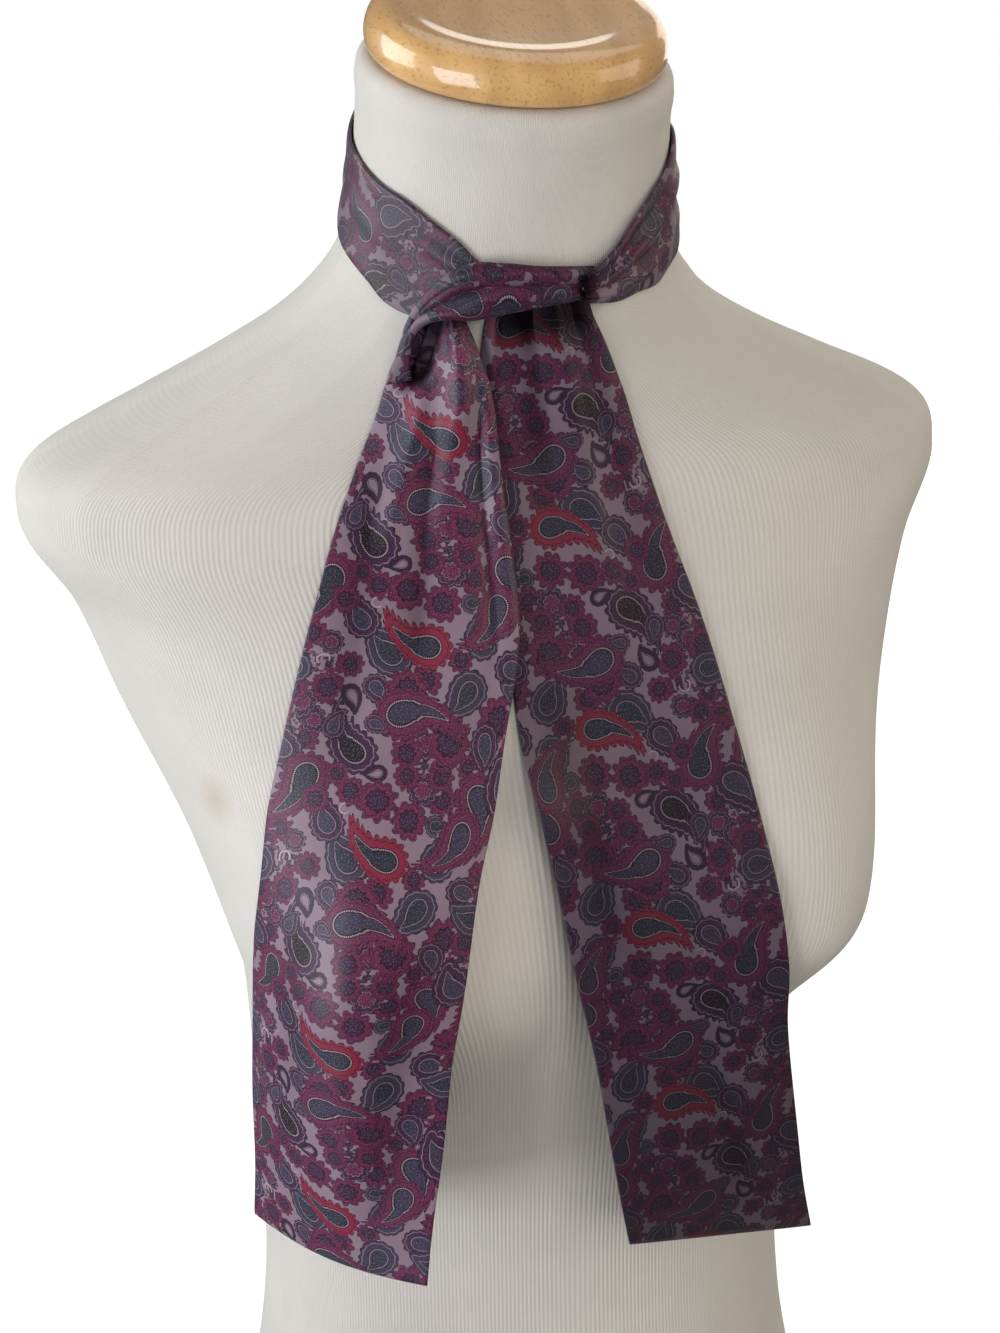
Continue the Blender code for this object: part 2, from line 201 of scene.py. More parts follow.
# The front wrap: across the throat, over a slanting fold and down into the left tail
WRAP_COLUMNS = ("up_x", "up_z", "down_x", "down_z", "stand_off", "bulge")
FRONT_WRAP = (
    (12.0, 600.8, 12.4, 590.8, 2.0, 0.3),
    (4.0, 602.0, 4.4, 590.0, 3.6, 0.7),
    (-8.0, 603.4, -7.0, 589.2, 5.0, 1.2),
    (-18.0, 604.6, -16.0, 587.6, 5.4, 1.5),
    (-27.0, 604.4, -23.0, 585.8, 5.8, 1.8),
    (-33.5, 600.6, -28.0, 584.8, 6.4, 2.0),
    (-38.5, 594.4, -31.5, 585.0, 6.8, 2.0),
    (-42.1, 588.5, -34.4, 585.6, 7.0, 1.6),
    (-44.0, 584.0, -38.0, 584.6, 6.8, 1.0),
    (-46.2, 579.6, -41.8, 581.8, 6.2, 0.8),
    (-48.4, 575.0, -44.9, 577.2, 5.4, 0.7),
    (-50.7, 570.4, -46.4, 572.2, 4.6, 0.6),
    (-53.3, 565.5, -47.4, 567.3, 3.8, 0.4),
    (-56.1, 560.6, -47.6, 562.7, 2.9, 0.2),
)

# The tails: one row per station down the cloth, with its two edges
TAIL_COLUMNS = (
    "left_x", "left_z", "left_reach", "left_off",
    "right_x", "right_z", "right_reach", "right_off", "bow", "drape",
)
LEFT_TAIL = (
    (-42.0, 590.0, 0, 3.0, -31.5, 589.5, 0, 3.2, 0.6, 0.0),
    (-45.2, 582.6, 0, 3.2, -29.6, 584.6, 0, 4.2, 1.4, 0.0),
    (-49.6, 573.4, 0, 2.8, -26.5, 575.4, 0, 5.4, 2.6, 0.0),
    (-54.4, 564.6, 0, 2.4, -23.8, 564.6, 0, 6.2, 3.4, 0.0),
    (-61.0, 551.0, 0, 2.0, -22.3, 550.0, 0, 6.2, 3.0, 0.0),
    (-70.0, 535.0, 0, 1.5, -21.7, 535.0, 0, 5.8, 1.6, 0.0),
    (-79.0, 517.0, 0, 1.3, -20.8, 518.0, 0, 5.0, 0.6, 0.0),
    (-87.0, 499.0, 0, 1.3, -20.5, 500.0, 0, 4.8, 0.4, 0.0),
    (-95.0, 481.0, 0, 1.3, -22.5, 479.0, 70, 4.6, 0.3, 0.0),
    (-101.5, 463.0, 40, 1.3, -27.0, 461.0, 85, 4.0, 0.0, 0.0),
    (-107.0, 446.0, 60, 1.3, -32.0, 445.0, 100, 3.0, 0.0, 0.0),
    (-112.5, 428.0, 84, 1.3, -38.5, 426.0, 114, 2.0, 0.0, 6.0),
    (-117.0, 404.0, 94, 1.3, -48.5, 404.0, 129, 1.6, 0.0, 16.0),
    (-121.0, 377.0, 97, 1.3, -57.0, 372.0, 140, 1.4, 0.0, 24.0),
    (-123.0, 347.0, 97, 1.3, -62.5, 346.0, 145, 1.4, 0.0, 21.0),
    (-125.0, 313.0, 96, 1.3, -67.9, 312.0, 150, 1.4, 0.0, 15.0),
    (-126.0, 277.0, 95, 1.3, -73.6, 276.0, 152, 1.4, 0.0, 9.0),
    (-127.5, 255.0, 94, 1.3, -76.0, 256.0, 153, 1.4, 0.0, 6.0),
)
RIGHT_TAIL = (
    (-22.5, 594.0, 0, 1.3, 9.0, 595.0, 0, 1.3, 0.4, 0.0),
    (-24.2, 583.0, 0, 1.3, 12.6, 584.0, 0, 1.3, 0.8, 0.0),
    (-25.2, 573.0, 0, 1.3, 17.6, 574.0, 0, 1.3, 0.8, 0.0),
    (-26.0, 556.0, 0, 1.3, 24.6, 557.0, 0, 1.3, 0.6, 0.0),
    (-26.4, 536.0, 0, 1.3, 32.0, 533.0, 0, 1.3, 0.4, 0.0),
    (-26.5, 514.0, 0, 1.3, 38.8, 508.0, 0, 1.3, 0.2, 0.0),
    (-26.5, 488.0, 0, 1.3, 45.2, 482.0, 0, 1.3, 0.0, 0.0),
    (-26.0, 462.0, 60, 1.3, 51.2, 456.0, 40, 1.3, 0.0, 0.0),
    (-24.4, 432.0, 114, 1.3, 56.5, 426.0, 90, 1.3, 0.0, 0.0),
    (-19.3, 401.0, 122, 1.3, 61.0, 394.0, 126, 1.3, 0.0, 0.0),
    (-13.8, 366.0, 129, 1.3, 65.0, 360.0, 138, 1.3, 0.0, 0.0),
    (-6.6, 328.0, 135, 1.3, 69.6, 320.0, 137, 1.3, 0.0, 0.0),
    (-1.2, 290.0, 139, 1.3, 75.0, 280.0, 138, 1.3, 0.0, 0.0),
    (3.6, 260.0, 140, 1.3, 80.4, 250.0, 136, 1.3, 0.0, 0.0),
    (8.0, 240.0, 137, 1.3, 87.0, 225.0, 132, 1.3, 0.0, 0.0),
)
HANG_SOFTNESS = 14.0

# Creases laid on a cloth: each runs between two places given as (part across,
# part along), with a width in parts across, a lift off the cloth (below nought is a
# hollow) and the skew of its slope, from -1, steep on its left, to 1, steep on its right
CREASE_COLUMNS = ("across_a", "along_a", "across_b", "along_b", "width", "lift", "skew")
LEFT_CREASES = (
    (0.44, 0.00, 0.22, 0.10, 0.13, -9.0, -0.2),
    (0.84, 0.00, 0.56, 0.16, 0.13, 4.4, -0.6),
    (0.74, 0.06, 0.62, 0.24, 0.08, 1.4, 0.2),
    (0.36, 0.075, 0.32, 0.26, 0.07, 1.6, 0.6),
    (0.54, 0.10, 0.50, 0.38, 0.07, -1.6, 0.3),
    (0.86, 0.06, 0.88, 0.40, 0.04, -1.4, 0.0),
    (0.94, 0.05, 0.96, 0.42, 0.04, 1.2, 0.3),
    (0.74, 0.20, 0.70, 0.52, 0.08, 1.2, 0.5),
    (0.16, 0.14, 0.24, 0.46, 0.10, -1.2, -0.2),
    (0.44, 0.34, 0.54, 0.72, 0.12, 1.1, 0.4),
    (0.30, 0.50, 0.24, 0.86, 0.10, -0.9, -0.4),
    (0.80, 0.56, 0.78, 0.96, 0.10, -1.2, 0.3),
    (0.62, 0.66, 0.60, 0.98, 0.08, 0.8, 0.0),
    (0.12, 0.66, 0.18, 0.97, 0.11, 1.0, -0.4),
)
RIGHT_CREASES = (
    (0.12, 0.00, 0.10, 0.18, 0.07, 1.4, 0.3),
    (0.36, 0.00, 0.34, 0.24, 0.09, -1.6, 0.0),
    (0.62, 0.00, 0.58, 0.34, 0.09, 1.3, 0.5),
    (0.84, 0.00, 0.84, 0.34, 0.06, -1.0, 0.0),
    (0.48, 0.22, 0.54, 0.55, 0.14, 0.9, 0.4),
    (0.20, 0.34, 0.26, 0.70, 0.12, -1.0, 0.0),
    (0.76, 0.48, 0.72, 0.86, 0.14, 1.0, -0.4),
    (0.42, 0.68, 0.36, 0.98, 0.12, 1.0, 0.3),
    (0.62, 0.74, 0.66, 0.98, 0.09, -0.7, 0.0),
)
BAND_CREASES = (
    (0.34, 0.00, 0.22, 0.14, 0.09, 0.9, 0.3),
    (0.66, 0.00, 0.76, 0.18, 0.09, -0.9, 0.0),
    (0.50, 0.12, 0.46, 0.34, 0.12, 0.55, 0.3),
    (0.30, 0.30, 0.62, 0.48, 0.14, 0.5, 0.0),
    (0.72, 0.44, 0.36, 0.62, 0.12, -0.5, 0.0),
    (0.24, 0.58, 0.52, 0.74, 0.12, 0.5, 0.2),
    (0.84, 0.70, 0.66, 0.90, 0.09, 0.6, 0.0),
    (0.34, 0.76, 0.42, 1.00, 0.05, 1.3, 0.7),
    (0.54, 0.80, 0.60, 1.00, 0.07, -1.0, 0.0),
    (0.78, 0.84, 0.80, 1.00, 0.07, 0.8, 0.4),
    (0.16, 0.84, 0.20, 1.00, 0.06, -0.8, 0.0),
)
WRAP_CREASES = (
    (0.22, 0.00, 0.20, 0.50, 0.07, 0.8, 0.5),
    (0.46, 0.00, 0.40, 0.56, 0.09, -0.9, 0.0),
    (0.70, 0.04, 0.62, 0.54, 0.08, 0.9, 0.5),
    (0.90, 0.06, 0.84, 0.50, 0.06, -0.8, 0.0),
    (0.14, 0.40, 0.10, 0.80, 0.10, 1.0, 0.3),
    (0.46, 0.40, 0.40, 0.72, 0.10, -1.4, -0.4),
    (0.80, 0.42, 0.70, 0.80, 0.12, 1.4, 0.2),
)

def posy(along, across, size, reaches, turns, sizes, kinds):
    """Rows of a middle blossom and those round it: each lies at its reach and turn from
    the middle, on a tenth of a millimetre, and its own turn is seven times that."""
    rows = [(along, across, 20, size, kinds[0])]
    for i, (reach, turn, half) in enumerate(zip(reaches, turns, sizes)):
        x = round(along + reach * math.cos(math.radians(turn)), 1)
        y = round(across + reach * math.sin(math.radians(turn)), 1)
        rows.append((x, y, turn * 7 % 360, half, kinds[1 + i % (len(kinds) - 1)]))
    return rows


# The print, charted on cloth laid flat: a motif's middle (along, across), the way its tip
# points, its half width and its kind. Later rows lie over earlier ones. The first seven
# fill bare places: a search for the widest place left set them, and not a chart by hand.
PRINT_LENGTH = 73.5
PRINT_WIDTH = 84.0
MOTIF_COLUMNS = ("along", "across", "turn", "size")
MOTIFS = (
    (35.4, 15.6, 290, 5.2, "blossom"),
    (33.0, 31.8, 30, 4.2, "plum_leaf"),
    (70.8, 30.0, 60, 4.3, "blossom"),
    (1.8, 62.1, 80, 3.3, "slate_leaf"),
    (20.4, 60.3, 60, 3.8, "blossom"),
    (62.7, 38.1, 280, 3.0, "ring_leaf"),
    (53.1, 69.6, 310, 3.7, "blossom"),
    (13.0, 67.0, 150, 6.4, "slate_leaf"),
    (38.3, 78.0, 200, 6.8, "blossom"),
    (20.5, 79.0, 60, 5.5, "plum_leaf"),
    (29.6, 65.0, 320, 6.8, "slate_leaf"),
    (45.0, 74.0, 10, 4.9, "plum_leaf"),
    (66.5, 63.0, 100, 4.9, "blossom"),
    *posy(57.0, 53.5, 5.0, (7.9, 7.2, 8.3, 7.4, 8.0, 7.0), (12, 74, 131, 190, 248, 310),
          (4.9, 4.3, 5.1, 4.4, 4.8, 4.1), ("blossom", "plum_blossom", "blossom", "blossom")),
    (47.5, 60.5, 40, 7.0, "blossom"),
    (62.0, 76.0, 352, 7.8, "wine_paisley"),
    (1.0, 73.0, 318, 6.6, "wine_paisley"),
    *posy(48.5, 6.6, 4.6, (6.8, 6.2, 7.0, 6.4, 6.6), (30, 104, 172, 246, 318),
          (4.5, 4.0, 4.6, 3.9, 4.3), ("plum_blossom", "blossom", "plum_blossom", "plum_blossom")),
    (60.5, 3.0, 200, 7.6, "plum_leaf"),
    (37.6, 2.6, 240, 5.7, "blossom"),
    *posy(21.6, 10.4, 4.3, (6.0, 5.6, 6.4, 5.8, 6.1), (50, 122, 196, 262, 334),
          (4.1, 3.7, 4.3, 3.6, 4.0), ("blossom", "blossom", "plum_blossom", "blossom")),
    (29.4, 3.6, 250, 5.9, "slate_leaf"),
    (12.0, 1.5, 30, 4.7, "blossom"),
    (21.8, 36.6, 218, 7.2, "slate_leaf"),
    (10.6, 25.4, 200, 5.7, "plum_leaf"),
    (28.8, 49.0, 100, 4.9, "blossom"),
    (33.2, 43.0, 170, 6.4, "blossom"),
    (41.6, 41.0, 80, 7.8, "wine_paisley"),
    (2.4, 52.6, 120, 5.5, "blossom"),
    (17.4, 49.6, 236, 6.7, "red_paisley"),
    (57.6, 28.8, 197, 7.3, "dark_paisley"),
    (36.6, 24.0, 20, 3.6, "ring_leaf"),
    (45.5, 33.0, 60, 3.0, "plum_leaf"),
    (68.0, 13.6, 318, 7.8, "teal_paisley"),
    (72.0, 40.0, 30, 5.9, "blossom"),
    (66.0, 24.0, 100, 3.6, "blossom"),
    (2.6, 18.6, 70, 4.2, "blossom"),
    (26.2, 22.4, 330, 4.0, "blossom"),
    (49.0, 19.4, 150, 3.8, "plum_leaf"),
    (25.6, 13.0, 200, 2.6, "hook"),
    (3.4, 29.6, 300, 2.2, "hook"),
)
NO_MOTIF = 9.0
MOTIF_MARGIN = 1.9

# Outline of a motif of half width one, every 18 degrees from its tip round to behind it:
# how far the outline is from the middle. Curl bends the tip sideways with distance.
OUTLINES = {
    "paisley": (3.05, 1.82, 1.36, 1.15, 1.05, 1.0, 0.97, 0.95, 0.94, 0.94, 0.94),
    "leaf": (2.05, 1.52, 1.26, 1.12, 1.04, 1.0, 0.98, 0.97, 0.96, 0.96, 0.96),
    "blossom": (1.0,) * 11,
}
OUTLINE_SCALE = 3.2
CURLS = {"paisley": 0.26, "leaf": 0.24, "blossom": 0.0}
SCALLOPS = {"paisley": 10, "leaf": 7, "blossom": 5}
BEADS = {"paisley": 26, "leaf": 16, "blossom": 12}

# The kinds of motif: outline, border colour, line colour within the border, core colour,
# whether a ring of beads runs round the core, how thickly the border is dotted, and how
# deep its scallops are in half widths
KIND_COLUMNS = ("outline", "border", "line", "core", "beaded", "dotted", "scallop")
KINDS = {
    "red_paisley": ("paisley", "red", "wine", "teal", 1.0, 0.30, 0.20),
    "wine_paisley": ("paisley", "burgundy", "wine", "slate", 1.0, 0.8, 0.20),
    "teal_paisley": ("paisley", "burgundy", "wine", "teal", 1.0, 0.7, 0.20),
    "dark_paisley": ("paisley", "plum", "lilac", "ink", 1.0, 0.3, 0.16),
    "slate_leaf": ("leaf", "slate", "lilac", "teal", 0.0, 0.5, 0.10),
    "plum_leaf": ("leaf", "plum", "lilac", "slate", 0.0, 0.6, 0.14),
    "ring_leaf": ("leaf", "plum", "ink", "mauve", 1.0, 0.0, 0.05),
    "blossom": ("blossom", "burgundy", "wine", "plum", 0.0, 0.9, 0.26),
    "plum_blossom": ("blossom", "plum", "lilac", "burgundy", 0.0, 0.7, 0.26),
    "hook": ("blossom", "pearl", "pearl", "pearl", 0.0, 0.0, 0.0),
}

# Bands of a motif inwards from its edge, in shares of DEEPEST: where each ends, and how
# much of it is border, line and core colour (what is left is ink)
DEEPEST = 1.1
PLAIN_BANDS = (
    (0.05, (0, 0, 0)),
    (0.17, (1, 0, 0)),
    (0.21, (0, 1, 0)),
    (0.50, (1, 0, 0)),
    (0.55, (0, 0, 0)),
    (0.60, (0, 1, 0)),
    (1.0, (0, 0, 1)),
)
BEADED_BANDS = (
    (0.05, (0, 0, 0)),
    (0.19, (1, 0, 0)),
    (0.23, (0, 1, 0)),
    (0.5, (1, 0, 0)),
    (0.53, (0, 0, 0)),
    (0.64, (0, 0, 0)),
    (0.68, (0, 0, 0)),
    (1.0, (0, 0, 1)),
)
BEAD_DEPTH = 0.585
BEAD_RADIUS = 0.050
BEAD_GAP = 0.105
MEAN_SCALLOP = 0.64
SETTLING = 2.6
BLOSSOM_SCALLOP = 0.6
BLOSSOM_WOBBLE = 1.6
DOT_SHARE = 0.7
CORE_DOT_SHARE = 0.45

# Painted shade towards the hem: the height where it starts and how far down it grows,
# in metres, and the near black that the painted shades lead to
HEM_START = 0.50
HEM_FADE = 0.22
SHADE_COLOUR = (0.006, 0.003, 0.005)


def named(columns, rows):
    """Columns of a table by name, as arrays."""
    table = np.array(rows, float)
    return {name: table[:, i] for i, name in enumerate(columns)}


def eased(keys, values, at):
    """Cubic curve through values at rising keys: at each key its slope is the mean of the
    two straight slopes beside it, weighted by the other side's length."""
    keys = np.asarray(keys, float)
    values = np.asarray(values, float)
    at = np.asarray(at, float)
    step = np.diff(keys)
    rise = np.diff(values) / step
    slope = np.empty_like(values)
    slope[0] = rise[0]
    slope[-1] = rise[-1]
    slope[1:-1] = (step[1:] * rise[:-1] + step[:-1] * rise[1:]) / (step[1:] + step[:-1])
    i = np.clip(np.searchsorted(keys, at) - 1, 0, len(keys) - 2)
    t = (at - keys[i]) / step[i]
    start = (1 + 2 * t) * (1 - t) ** 2 * values[i] + t * (1 - t) ** 2 * step[i] * slope[i]
    end = t * t * (3 - 2 * t) * values[i + 1] + t * t * (t - 1) * step[i] * slope[i + 1]
    return start + end


def step_up(low, high, value):
    """Nought below low, one above high and a smooth S between them."""
    t = np.clip((value - low) / (high - low), 0, 1)
    return t * t * (3 - 2 * t)


FORM = named(FORM_COLUMNS, FORM_SECTIONS)


def section(name, height):
    return eased(FORM["height"], FORM[name], height)


def bust(x, z):
    """Lift of the chest: a bell across each breast times a bell up it, flatter above."""
    side = np.exp(-((np.abs(x) - BUST_SPACING) ** 2) / (2 * BUST_WIDTH**2))
    tall = np.where(z > BUST_HEIGHT, BUST_ABOVE, BUST_BELOW)
    return BUST_REACH * side * np.exp(-((z - BUST_HEIGHT) ** 2) / (2 * tall**2))


def form_points(angle, height):
    """Points on the form: on each ring a rounded box curve (a power of cosine and sine)
    with its own half width and depths, tilted about its middle, plus the bust's lift."""
    angle, height = np.broadcast_arrays(np.radians(angle), np.asarray(height, float))
    across = np.cos(angle)
    along = np.sin(angle)
    power = 2 / section("fullness", height)
    depth = np.where(along < 0, section("front", height), section("back", height))
    x = section("half_width", height) * np.sign(across) * np.abs(across) ** power
    out = depth * np.sign(along) * np.abs(along) ** power
    tilt = np.radians(section("tilt", height))
    y = section("centre", height) + out * np.cos(tilt)
    z = height + out * np.sin(tilt)
    lift = bust(x, z) * np.clip(-along, 0, 1) ** BUST_FADE
    y = y - BUST_FORWARD * lift
    x = x + np.sign(x) * BUST_OUTWARD * lift * np.clip(np.abs(x) / BUST_INNER, 0, 1)
    return np.stack([x, y, z], axis=-1)


def form_normals(angle, height):
    """Outward directions: the cross product of the steps round and up the surface."""
    turn = form_points(angle + NEAR, height) - form_points(angle - NEAR, height)
    climb = form_points(angle, height + NEAR) - form_points(angle, height - NEAR)
    normal = np.cross(turn, climb)
    return normal / np.linalg.norm(normal, axis=-1, keepdims=True)


def front_places(x, z):
    """Angle and ring height of the front surface's points with the given x and z, found by
    repeated steps that each take away most of what is still missing."""
    height = np.array(z, float)
    angle = np.full_like(height, -90.0)
    base = np.array(x, float)
    for _ in range(SEEK_ROUNDS):
        share = np.clip(base / section("half_width", height), -WIDEST_SHARE, WIDEST_SHARE)
        half = section("fullness", height) / 2
        across = np.sign(share) * np.abs(share) ** half
        angle = -np.degrees(np.arccos(across))
        found = form_points(angle, height)
        base = base + SEEK_PACE * (x - found[..., 0])
        height = height + SEEK_PACE * (z - found[..., 2])
    return angle, height


def on_front(x, z, off):
    """Points at a distance off the form's front surface."""
    angle, height = front_places(x, z)
    return form_points(angle, height) + form_normals(angle, height) * off[..., None]


def creases(rows, across, along):
    """Lift of the listed creases: along each line the distance across it shapes a bell,
    narrower on its steep side, that fades in and out smoothly at the line's ends."""
    table = named(CREASE_COLUMNS, rows)
    lift = np.zeros(np.broadcast(across, along).shape)
    for i in range(len(rows)):
        start, end = table["along_a"][i], table["along_b"][i]
        place = (along - start) / (end - start)
        middle = table["across_a"][i] + (table["across_b"][i] - table["across_a"][i]) * place
        away = across - middle
        width = table["width"][i] * (1 - 0.45 * table["skew"][i] * np.sign(away))
        fade = step_up(-0.02, 0.22, place) * (1 - step_up(0.7, 1.02, place))
        if start <= 0.02:
            fade = 1 - step_up(0.6, 1.02, place)
        if end >= 1:
            fade = step_up(-0.02, 0.25, place)
        lift = lift + table["lift"][i] * np.exp(-((away / width) ** 2)) * fade
    return lift


def normals_of(middle):
    """Unit directions across a grid: the cross product of its two difference fields."""
    normal = np.cross(np.gradient(middle, axis=0), np.gradient(middle, axis=1))
    return normal / np.linalg.norm(normal, axis=-1, keepdims=True)


def blend(reach, surface):
    """The larger of two depths, rounded by a parabola where they meet."""
    gap = np.abs(reach - surface)
    lift = np.clip(HANG_SOFTNESS - gap, 0, HANG_SOFTNESS) ** 2 / (4 * HANG_SOFTNESS)
    return np.maximum(reach, surface) + lift


def strip_grid(key, grid, table):
    """Places along and across a strip, and each column of its table eased along it."""
    at = np.linspace(0, key[-1], grid[0])[:, None]
    part = np.linspace(0, 1, grid[1])[None, :]
    return at, part, {name: eased(key, column, at) for name, column in table.items()}


def station_keys(table, first, second):
    """Distance along the middle of a strip at each row of its table."""
    x = (table[first + "_x"] + table[second + "_x"]) / 2
    z = (table[first + "_z"] + table[second + "_z"]) / 2
    return np.concatenate([[0], np.cumsum(np.hypot(np.diff(x), np.diff(z)))])


def tail_surface(rows, folds, tucked):
    """Mid-surface of a tail on a grid of stations and columns: the two edges follow the
    table and the cloth between them lies on the form or hangs at its reach, then the
    creases lift it along its own direction."""
    table = named(TAIL_COLUMNS, rows)
    key = station_keys(table, "left", "right")
    at, part, value = strip_grid(key, TAIL_GRID, table)

    def between(name):
        return value["left_" + name] * (1 - part) + value["right_" + name] * part

    arch = np.sin(math.pi * part)
    wide = value["right_x"] - value["left_x"]
    turned = value["right_reach"] - value["left_reach"]
    chord = np.hypot(wide, turned)
    x = between("x") - value["drape"] * arch * turned / chord
    z = between("z") + 0 * at
    reach = between("reach") + value["drape"] * arch * wide / chord
    lift = creases(folds, part, at / key[-1])
    laid = on_front(x, z, np.maximum(between("off") + value["bow"] * arch + lift, TAIL_CLEAR))
    surface = -laid[..., 1]
    free = np.clip((reach - surface) / HANG_SOFTNESS + 0.5, 0, 1)[..., None]
    hung = np.stack([x, -reach, z], axis=-1)
    placed = laid * (1 - free) + hung * free
    placed[..., 1] = -blend(reach, surface)
    # Painted shade: dark in the crease hollows, and near the top where the tail comes out from
    # under the knot
    shade = hollow_of(lift) + TAIL_TUCK_SHADE * (
        1 - step_up(0.4 * tucked, tucked, at / key[-1])
    )
    return placed + outward(placed) * lift[..., None] * free, shade


def hollow_of(lift):
    """Painted shade in the creases: the depth below the cloth as a share."""
    return np.clip(-lift / HOLLOW_DEPTH, 0, HOLLOW_MOST)


def outward(middle):
    """Grid directions, turned so that they face forward and out from the form."""
    normal = normals_of(middle)
    return normal * np.sign(-normal[..., 1].sum())


def band_surface():
    """Mid-surface of the neck band: an even offset from the neck between its two edges,
    with the low ridge of its fold and its creases."""
    table = named(BAND_COLUMNS, NECK_BAND)
    turn = -table["angle"]
    at = np.linspace(turn[0], turn[-1], BAND_GRID[0])[:, None]
    part = np.linspace(0, 1, BAND_GRID[1])[None, :]
    height = eased(turn, table["top"], at) * (1 - part) + eased(turn, table["bottom"], at) * part
    angle = -at + 0 * part
    off = SKIN_GAP + BAND_WALL / 2 + eased(turn, table["stand_off"], at)
    ridge = np.exp(-(((part - RIDGE_PLACE) / RIDGE_WIDTH) ** 2))
    off = off + eased(turn, table["ridge"], at) * ridge
    along = (at - turn[0]) / (turn[-1] - turn[0])
    lift = creases(BAND_CREASES, part, along)
    off = np.maximum(off + lift, SKIN_GAP + BAND_WALL / 2)
    middle = form_points(angle, height) + form_normals(angle, height) * off[..., None]
    # Painted shade: dark in the crease hollows, and at the right end where the band goes under the
    # wrap
    return middle, hollow_of(lift) + BAND_END_SHADE * step_up(*BAND_END, along)


def wrap_surface():
    """Mid-surface of the cloth across the throat and down over its rolled fold."""
    table = named(WRAP_COLUMNS, FRONT_WRAP)
    key = station_keys(table, "up", "down")
    at, part, value = strip_grid(key, WRAP_GRID, table)
    x = value["up_x"] * (1 - part) + value["down_x"] * part
    z = value["up_z"] * (1 - part) + value["down_z"] * part
    off = value["stand_off"] + value["bulge"] * np.sin(math.pi * part)
    lift = creases(WRAP_CREASES, part, at / key[-1])
    # Painted shade: dark in the crease hollows, and at the right end that is tucked into the knot
    shade = hollow_of(lift) + WRAP_END_SHADE * (1 - step_up(*WRAP_END, at / key[-1]))
    return on_front(x, z, off + lift), shade


def cloth_length(middle):
    """Cloth coordinates in millimetres of a mid-surface: along is the distance down the
    middle column plus the reach of each point along its direction, and across is the
    distance from the middle column along each row."""
    half = middle.shape[1] // 2
    centre = middle[:, half]
    step = np.linalg.norm(np.diff(centre, axis=0), axis=-1)
    down = np.concatenate([[0], np.cumsum(step)])
    heading = np.gradient(centre, axis=0)
    heading /= np.linalg.norm(heading, axis=-1, keepdims=True)
    along = down[:, None] + np.einsum("ijk,ik->ij", middle - centre[:, None], heading)
    side = np.linalg.norm(np.diff(middle, axis=1), axis=-1)
    across = np.concatenate([np.zeros((len(middle), 1)), np.cumsum(side, axis=1)], axis=1)
    return along, across - across[:, half : half + 1]


def new_object(name, vertices, faces, material, smooth=True):
    """One mesh object at the origin, with its place in its vertices."""
    mesh = bpy.data.meshes.new(name)
    mesh.from_pydata((np.asarray(vertices) * MM).tolist(), [], faces.tolist())
    mesh.validate()
    mesh.polygons.foreach_set("use_smooth", np.full(len(mesh.polygons), smooth))
    mesh.materials.append(material)
    obj = bpy.data.objects.new(name, mesh)
    bpy.context.scene.collection.objects.link(obj)
    return obj


def numbers_of(items, name):
    """One whole number of each item of a mesh."""
    found = np.empty(len(items), np.int32)
    items.foreach_get(name, found)
    return found


def add_uv(mesh, name, corner_uv):
    layer = mesh.uv_layers.new(name=name)
    layer.data.foreach_set("uv", corner_uv.astype(np.float32).ravel())


def set_uv(mesh, name, vertex_uv):
    """A UV map put on the corners from its values at the vertices."""
    corner_uv = vertex_uv[numbers_of(mesh.loops, "vertex_index")]
    add_uv(mesh, name, corner_uv)
    return corner_uv


def ring_quads(rings, points):
    """Quads between closed rings of points, stacked in order."""
    i = np.arange(rings - 1)[:, None] * points
    j = np.arange(points)
    k = (j + 1) % points
    return np.stack([i + j, i + k, i + points + k, i + points + j], axis=-1).reshape(-1, 4)


def strip_shell(name, surface, wall, uv_start, uv_sign, material):
    """A cloth of even wall round a mid-surface: each station is a closed ring, out along
    one face and back along the other, thinner at its two sewn edges, and each end is
    closed by quads between its two faces."""
    middle, shade = surface
    stations, columns, _ = middle.shape
    normal = normals_of(middle)
    place = np.linspace(-1, 1, columns)
    half = EDGE_WALL / 2 + (wall - EDGE_WALL) / 2 * (1 - place**EDGE_POWER)
    end = np.minimum(np.arange(stations), np.arange(stations)[::-1])
    close = END_THIN + (1 - END_THIN) * step_up(0, END_STATIONS, end)
    half = half[None, :] * close[:, None]
    front = middle + normal * half[..., None]
    back = middle - normal * half[..., None]
    rings = np.concatenate([back, front[:, ::-1]], axis=1)
    points = 2 * columns
    faces = ring_quads(stations, points)
    j = np.arange(columns - 1)
    first = np.stack([j + 1, j, points - 1 - j, points - 2 - j], axis=-1)
    last = first[:, ::-1] + (stations - 1) * points
    faces = np.concatenate([faces, first, last])
    along, across = cloth_length(middle)
    u = uv_start[0] + uv_sign * along
    v = uv_start[1] + uv_sign * across
    uv = np.stack([u, v], axis=-1)
    uv = np.concatenate([uv, uv[:, ::-1]], axis=1)
    obj = new_object(name, rings.reshape(-1, 3), faces, material)
    chart_print(obj.data, set_uv(obj.data, "cloth", uv.reshape(-1, 2)))
    # The painted shade of creases and tucked ends goes on the UV map hollow, on both faces
    shade = np.broadcast_to(np.clip(shade, 0, SHADE_MOST), middle.shape[:2])
    shade = np.concatenate([shade, shade[:, ::-1]], axis=1).reshape(-1, 1)
    set_uv(obj.data, "hollow", np.concatenate([shade, 0 * shade], axis=1))
    return obj


def cloth_area(middle):
    """Area of one layer in square metres, from the two triangles of each cell."""
    a = middle[1:, 1:] - middle[:-1, :-1]
    b = middle[:-1, 1:] - middle[1:, :-1]
    return float(np.linalg.norm(np.cross(a, b), axis=-1).sum() / 2 * MM * MM)


